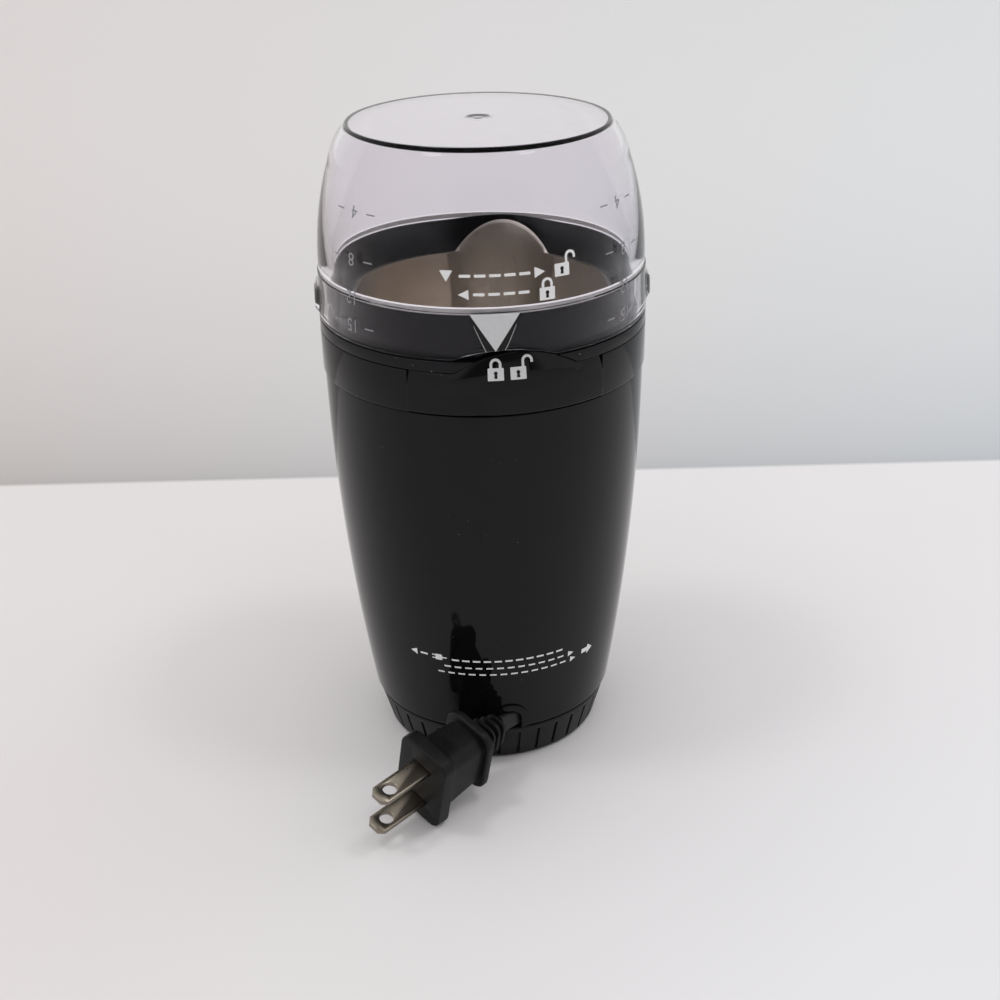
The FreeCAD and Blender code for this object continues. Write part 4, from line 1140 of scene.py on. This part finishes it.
signLook = {
    "thick": 0.05,
    "gap": 0.08,
    "scaleAzimuths": (-55.5, 47.5),
    "scale": (("4", 166.3), ("8", 154.3), ("12", 144.3), ("15", 136.9)),
    "panelLocks": 129.4,
    "lidHigh": 153.6,
    "lidLow": 148.9,
    "lidDash": (2.9, 0.75),
    "bodyHigh": 39.4,
    "bodyMiddle": 36.4,
    "bodyLow": 34.1,
    "bodyStep": 4.4,        # degrees between dashes
}


def laidOn(sign, surface, azimuth, radius, z, slot, body, finish):
    # A flat sign drawn in the XZ plane is carried to its place, laid on the surface and given its thickness
    turn = Matrix.Rotation(math.radians(azimuth), 4, "Z")
    sign.data.transform(turn @ Matrix.Translation(Vector((0, -radius, z)) * mm))
    pick(sign)
    wrap = sign.modifiers.new("wrap", "SHRINKWRAP")
    wrap.target = surface
    wrap.wrap_method = "NEAREST_SURFACEPOINT"
    wrap.wrap_mode = "ABOVE_SURFACE"
    wrap.offset = signLook["gap"] * mm
    bpy.ops.object.modifier_apply(modifier=wrap.name)
    skin = sign.modifiers.new("skin", "SOLIDIFY")
    skin.thickness = signLook["thick"] * mm
    skin.offset = 1.0
    bpy.ops.object.modifier_apply(modifier=skin.name)
    return finished(sign, slot, body, finish=finish)


def flatShape(name, corners, cuts=3):
    # A filled outline in the XZ plane, facing -Y, split finely enough to bend
    piece = vertexChain(name, [Vector((x, 0, z)) * mm for x, z in corners + [corners[0]]])
    bpy.ops.mesh.select_all(action="SELECT")
    bpy.ops.mesh.edge_face_add()
    bpy.ops.mesh.quads_convert_to_tris()
    bpy.ops.mesh.subdivide(number_cuts=cuts)
    bpy.ops.mesh.normals_make_consistent(inside=False)
    bpy.ops.object.mode_set(mode="OBJECT")
    facing(piece)
    return piece


def facing(piece):
    # Flat faces are turned to look out at -Y
    if sum(face.normal.y for face in piece.data.polygons) > 0:
        editAll(piece)
        bpy.ops.mesh.flip_normals()
        bpy.ops.object.mode_set(mode="OBJECT")


def number(text, height):
    clear()
    bpy.ops.object.text_add(rotation=(math.pi / 2, math.pi, 0))
    sign = bpy.context.object
    sign.name = "scale" + text
    sign.data.body = text
    sign.data.size = height * 1.35 * mm
    sign.data.align_x = "CENTER"
    sign.data.align_y = "CENTER"
    bpy.ops.object.convert(target="MESH")
    sign = bpy.context.object
    bpy.ops.object.transform_apply(location=True, rotation=True, scale=True)
    editAll(sign)
    bpy.ops.mesh.remove_doubles(threshold=1e-7)
    bpy.ops.mesh.subdivide(number_cuts=1)
    bpy.ops.object.mode_set(mode="OBJECT")
    facing(sign)
    return sign


def ringSector(name, inner, outer, fromDegrees, toDegrees, centre=(0, 0), steps=20):
    # A flat band round a centre in the XZ plane
    def spoke(radius, degrees):
        turn = math.radians(degrees)
        return (centre[0] + radius * math.cos(turn), centre[1] + radius * math.sin(turn))
    angles = [fromDegrees + (toDegrees - fromDegrees) * i / steps for i in range(steps + 1)]
    return flatShape(name, [spoke(outer, a) for a in angles] + [spoke(inner, a) for a in reversed(angles)], 0)


def padlock(name, isOpen):
    # Body and shackle, 5.8 mm tall; an open one has its shackle swung to the side and lifted
    body = flatShape(name, [(-2.0, -2.7), (2.0, -2.7), (2.1, -2.5), (2.1, 0.4), (2.0, 0.6), (-2.0, 0.6),
                            (-2.1, 0.4), (-2.1, -2.5)])
    shift, lift = (2.55, 0.5) if isOpen else (0.0, 0.0)
    shackle = ringSector(name + "Bow", 0.85, 1.55, 0, 180, (shift, 1.55 + lift))
    left = flatShape(name + "Left", [(shift - 1.55, 0.4), (shift - 0.85, 0.4), (shift - 0.85, 1.6 + lift),
                                     (shift - 1.55, 1.6 + lift)], 1)
    foot = 1.0 + lift if isOpen else 0.4
    right = flatShape(name + "Right", [(shift + 0.85, foot), (shift + 1.55, foot), (shift + 1.55, 1.6 + lift),
                                       (shift + 0.85, 1.6 + lift)], 1)
    return join(body, [shackle, left, right])


def keyhole(name):
    angles = [math.radians(a) for a in range(-50, 231, 20)]
    bow = [(0.5 * math.cos(a), -0.75 + 0.5 * math.sin(a)) for a in angles]
    return flatShape(name, bow + [(-0.42, -2.1), (0.42, -2.1)], 0)


def bar(name, length, height):
    return flatShape(name, [(-length / 2, -height / 2), (length / 2, -height / 2), (length / 2, height / 2),
                            (-length / 2, height / 2)], 2)


def wedge(name, length, height):
    # An arrowhead towards +X, or towards -X for a negative length
    return flatShape(name, [(-length / 2, -height / 2), (length / 2, 0), (-length / 2, height / 2)], 3)


def plugSign(name):
    # A plug seen from its side: body, two blades and a stub of cord
    body = flatShape(name, [(-1.1, -1.0), (0.7, -1.0), (1.1, -0.6), (1.1, 0.6), (0.7, 1.0), (-1.1, 1.0)], 3)
    blades = [flatShape(name + "Blade", [(-2.2, z - 0.17), (-1.0, z - 0.17), (-1.0, z + 0.17),
                                         (-2.2, z + 0.17)], 1) for z in (-0.55, 0.55)]
    cord = flatShape(name + "Cord", [(1.0, -0.2), (2.4, -0.2), (2.4, 0.2), (1.0, 0.2)], 1)
    return join(body, blades + [cord])


def onLid(sign, azimuth, z, finish="whiteInk"):
    radius = 46.5 - max(0, z - 146) * 0.12
    return laidOn(sign, lidClear, azimuth, radius, z, "print_grey", "lid", finish)


def onPanel(sign, azimuth, z, finish="print_grey"):
    return laidOn(sign, lockPanel, azimuth, 46.5, z, "print_grey", "housing", finish)


def onBody(sign, azimuth, z):
    return laidOn(sign, motorHousing, azimuth, sideRadius(z) + 1.5, z, "print_grey", "housing", "whiteInk")


def lockSign(place, names, isOpen, azimuth, z):
    # A padlock and its dark keyhole, which stands just proud of it
    lockName, holeName = names
    state = "Open" if isOpen else "Closed"
    place(padlock(lockName + state, isOpen), azimuth, z)
    hole = place(keyhole(holeName + state), azimuth, z, "holeInk")
    hole.data.transform(Matrix.Translation(at(0.06, azimuth, 0)))


def dashRow(place, name, count, first, step, z, size):
    for i in range(count):
        place(bar(name, *size), first + step * i, z)


def makeLidScales(look):
    for azimuth in look["scaleAzimuths"]:
        for text, z in look["scale"]:
            onLid(number(text, 3.6), azimuth, z, "scaleInk")
            for side in (-1, 1):
                onLid(bar("scaleTick", 3.0, 0.36), azimuth + side * 8, z, "scaleInk")


def makeLidSigns(look):
    high, low, dash = look["lidHigh"], look["lidLow"], look["lidDash"]
    # Upper line: the pointer turned to the open padlock
    onLid(flatShape("signPointer", [(0, -1.5), (1.7, 1.4), (-1.7, 1.4)]), -19.0, high)
    dashRow(onLid, "signDash", 5, -13.0, 4.8, high, dash)
    onLid(wedge("signHead", 2.8, 2.8), 11.2, high)
    lockSign(onLid, ("signPadlock", "signKeyhole"), True, 19.0, high + 0.8)
    # Lower line: a turn to the closed padlock
    onLid(wedge("signHead", -2.8, 2.6), -13.6, low)
    dashRow(onLid, "signDash", 4, -8.6, 4.8, low, dash)
    lockSign(onLid, ("signPadlock", "signKeyhole"), False, 13.6, low)


def makePointerShadeAndHighlights():
    # Painted shade round the pointer's flanks in dark ink, and a painted highlight along each outer edge in
    # pale ink
    flankShade = flatShape("pointerPaintedShade", [(-2.45, 134.1), (2.4, 134.1), (6.6, 143.7), (-6.6, 143.7)], 3)
    laidOn(flankShade, lidClear, pointerAzimuth, 46.5, 0, "print_grey", "lid", "holeInk")
    # Painted highlight: a thin pale line on each side
    for side in (-1, 1):
        edge = flatShape("pointerPaintedHighlight", [(side * 2.4, 134.2), (side * 2.52, 134.2), (side * 5.6, 141.0),
                                         (side * 5.48, 141.0)], 3)
        laidOn(edge, lidClear, pointerAzimuth, 46.5, 0, "print_grey", "lid", "print_grey")


def makeBodySigns(look):
    high, middle, low, step = look["bodyHigh"], look["bodyMiddle"], look["bodyLow"], look["bodyStep"]
    # Upper line: pull the plug
    onBody(wedge("pullHead", -2.2, 2.2), -41.0, high)
    onBody(bar("pullDash", 2.4, 0.6), -36.2, high)
    onBody(plugSign("pullPlug"), -29.5, high - 0.2)
    dashRow(onBody, "pullDash", 11, -22.5, step, high - 0.5, (2.2, 0.55))
    # Two lines below it: turn the base
    dashRow(onBody, "turnDash", 12, -26.0, step, middle, (2.0, 0.5))
    onBody(wedge("turnHead", 2.0, 1.9), 27.6, middle)
    dashRow(onBody, "turnDash", 13, -29.0, step, low, (2.0, 0.5))
    onBody(wedge("turnHead", 2.0, 1.9), 29.0, low)
    arrow = flatShape("turnArrow", [(-2.2, -0.75), (0.2, -0.75), (0.2, -1.7), (2.4, 0),
                                    (0.2, 1.7), (0.2, 0.75), (-2.2, 0.75)], 4)
    onBody(arrow, 37.0, low + 0.8)


makeLidScales(signLook)
for azimuth, isOpen in ((-3.9, False), (3.4, True)):
    lockSign(onPanel, ("padlock", "keyhole"), isOpen, azimuth, signLook["panelLocks"])
makeLidSigns(signLook)
makePointerShadeAndHighlights()
makeBodySigns(signLook)
print("signs printed")


# Inner parts keep their own shapes and get their finishes

innerFinish = {
    "button_spring": "spring_steel", "switch_plunger": "inner_plastic", "switch_body": "inner_plastic",
    "motor_deck": "inner_plastic", "deck_screws": "screw_steel", "rubber_mounts": "soft_rubber",
    "upper_bracket": "bracket_metal", "lower_bracket": "bracket_metal", "motor_bolts": "screw_steel",
    "upper_bearing": "bearing_steel", "lower_bearing": "bearing_steel", "stator_core": "lamination",
    "field_coils": "copper_wire", "brush_holders": "inner_plastic", "carbon_brushes": "carbon",
    "brush_springs": "spring_steel", "shaft_seal": "soft_rubber", "motor_shaft": "shaft_steel",
    "armature_core": "lamination", "armature_windings": "copper_wire", "commutator": "copper_bars",
    "cooling_fan": "inner_plastic", "blade_collar": "shaft_steel", "chopping_blade": "blade_steel",
    "blade_nut": "screw_steel", "chassis_plate": "inner_plastic", "chassis_screws": "screw_steel",
    "slip_contacts": "contact_brass", "inner_wires": "wire_sleeve", "slip_rings": "contact_brass",
    "cord_reel": "inner_plastic", "cord_winding": "cord_black", "base_cover": "grip_black",
    "reel_screw": "screw_steel", "reel_washer": "shaft_steel",
}

for name, finish in innerFinish.items():
    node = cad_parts[name]
    node.data.materials.clear()
    node.data.materials.append(finishes[finish])
print("inner parts finished:", len(innerFinish))


# Table and wall tone, with painted light and shade, and the lamps and room light

stageLook = {
    # Painted light: the table is dimmer and warmer at the left, brighter and cooler at the right
    "table": (shade(226, 221, 220), shade(236, 236, 239)),      # at the left and at the right
    # Painted shade: the wall band is darker at its foot than further up
    "wallFootShade": (shade(180, 176, 175), shade(188, 192, 197)),
    "wallFar": (shade(231, 226, 225), shade(234, 236, 238)),
    "lineDepth": 164.0,     # the wall's foot, behind the grinder's axis along the camera's way
    "size": 12.0,
    "lampHeight": 1.5,
    "lampSide": 0.57,
    "lampFront": -0.14,
    "lampSize": 0.28,
    "lampPower": 2.4,
    "world": 0.86,
    "room": (1.0, 0.99, 0.985, 1),
    "dim": (0.1, 0.095, 0.095, 1),
    "dimTurn": 9,           # degrees from behind the camera to the middle of the dim side
    "dimFrom": 0.80,        # cosines of the angles at which it starts and is full
    "dimFull": 0.90,
}


def makeStage(look):
    clear()
    bpy.ops.mesh.primitive_plane_add(size=look["size"])
    floor = bpy.context.object
    floor.name = "tableTop"
    f = Finish("tablePale", {"Specular IOR Level": 0.15})
    # Depth behind the axis along the camera's level way, and the share of the view's width, left to right
    turn = math.radians(cameraLook["turn"])
    here = f.add("ShaderNodeTexCoord", out="Object")
    depth = f.add("ShaderNodeVectorMath", {"operation": "DOT_PRODUCT"},
                  {0: here, 1: (-math.sin(turn), math.cos(turn), 0)}, out="Value")
    across = f.add("ShaderNodeVectorMath", {"operation": "DOT_PRODUCT"},
                   {0: here, 1: (math.cos(turn), math.sin(turn), 0)}, out="Value")
    side = f.span(across / (depth + 0.4), -0.35, 0.35)
    wall = f.span(depth, look["lineDepth"] * mm - 0.0015, look["lineDepth"] * mm + 0.0015)
    # Painted shade: the wall tone darkens towards its foot
    shadeFade = f.span(0.26 / (depth + 0.376), 0.12, 0.48, 1.0, 0.0)
    shadeFade = shadeFade.maths("POWER", shadeFade, 0.5)
    cloud = f.noise(260, 2)
    wallTone = f.mix(shadeFade, f.mix(side, *look["wallFootShade"]), f.mix(side, *look["wallFar"]))
    # Painted light across the table from left to right, over its random cloud
    tableToneAndLight = f.mix(f.span(cloud, 0.3, 0.7) * 0.4 + side * 0.6, *look["table"])
    f.gives("Base Color", f.mix(wall, tableToneAndLight, wallTone))
    f.gives("Roughness", 0.5 + cloud * 0.1)
    floor.data.materials.append(f.material)


def makeLamps(look):
    turn = Matrix.Rotation(math.radians(cameraLook["turn"]), 3, "Z")
    for side in (-1, 1):
        data = bpy.data.lights.new("ceilingLamp", "AREA")
        data.shape = "DISK"
        data.size = look["lampSize"]
        data.energy = look["lampPower"]
        data.color = (1.0, 0.98, 0.96) if side < 0 else (0.98, 0.99, 1.0)
        lamp = bpy.data.objects.new("ceilingLamp", data)
        bpy.context.scene.collection.objects.link(lamp)
        place = turn @ Vector((side * look["lampSide"], look["lampFront"], look["lampHeight"]))
        lamp.matrix_world = Matrix.Translation(place) @ place.to_track_quat("Z", "Y").to_matrix().to_4x4()


def makeWorld(look):
    # A pale room with one dim side, behind the camera
    world = bpy.data.worlds.new("room")
    bpy.context.scene.world = world
    world.use_nodes = True
    nodes, links = world.node_tree.nodes, world.node_tree.links
    back = nodes["Background"]
    back.inputs["Strength"].default_value = look["world"]
    way = nodes.new("ShaderNodeTexCoord")
    turn = math.radians(cameraLook["turn"] + look["dimTurn"])
    dot = nodes.new("ShaderNodeVectorMath")
    dot.operation = "DOT_PRODUCT"
    dot.inputs[1].default_value = (math.sin(turn), -math.cos(turn), 0)
    links.new(way.outputs["Generated"], dot.inputs[0])
    dim = nodes.new("ShaderNodeMapRange")
    dim.inputs["From Min"].default_value = look["dimFrom"]
    dim.inputs["From Max"].default_value = look["dimFull"]
    links.new(dot.outputs["Value"], dim.inputs["Value"])
    tone = nodes.new("ShaderNodeMix")
    tone.data_type = "RGBA"
    tone.inputs[6].default_value = look["room"]
    tone.inputs[7].default_value = look["dim"]
    # The dim side shows in reflections and through the lid, but not behind the object
    path = nodes.new("ShaderNodeLightPath")
    unseen = nodes.new("ShaderNodeMath")
    unseen.operation = "SUBTRACT"
    unseen.use_clamp = True
    links.new(dim.outputs["Result"], unseen.inputs[0])
    links.new(path.outputs["Is Camera Ray"], unseen.inputs[1])
    links.new(unseen.outputs["Value"], tone.inputs[0])
    links.new(tone.outputs[2], back.inputs["Color"])


makeStage(stageLook)
makeLamps(stageLook)
makeWorld(stageLook)
bpy.context.scene.view_settings.view_transform = "Standard"
print("stage and light set")
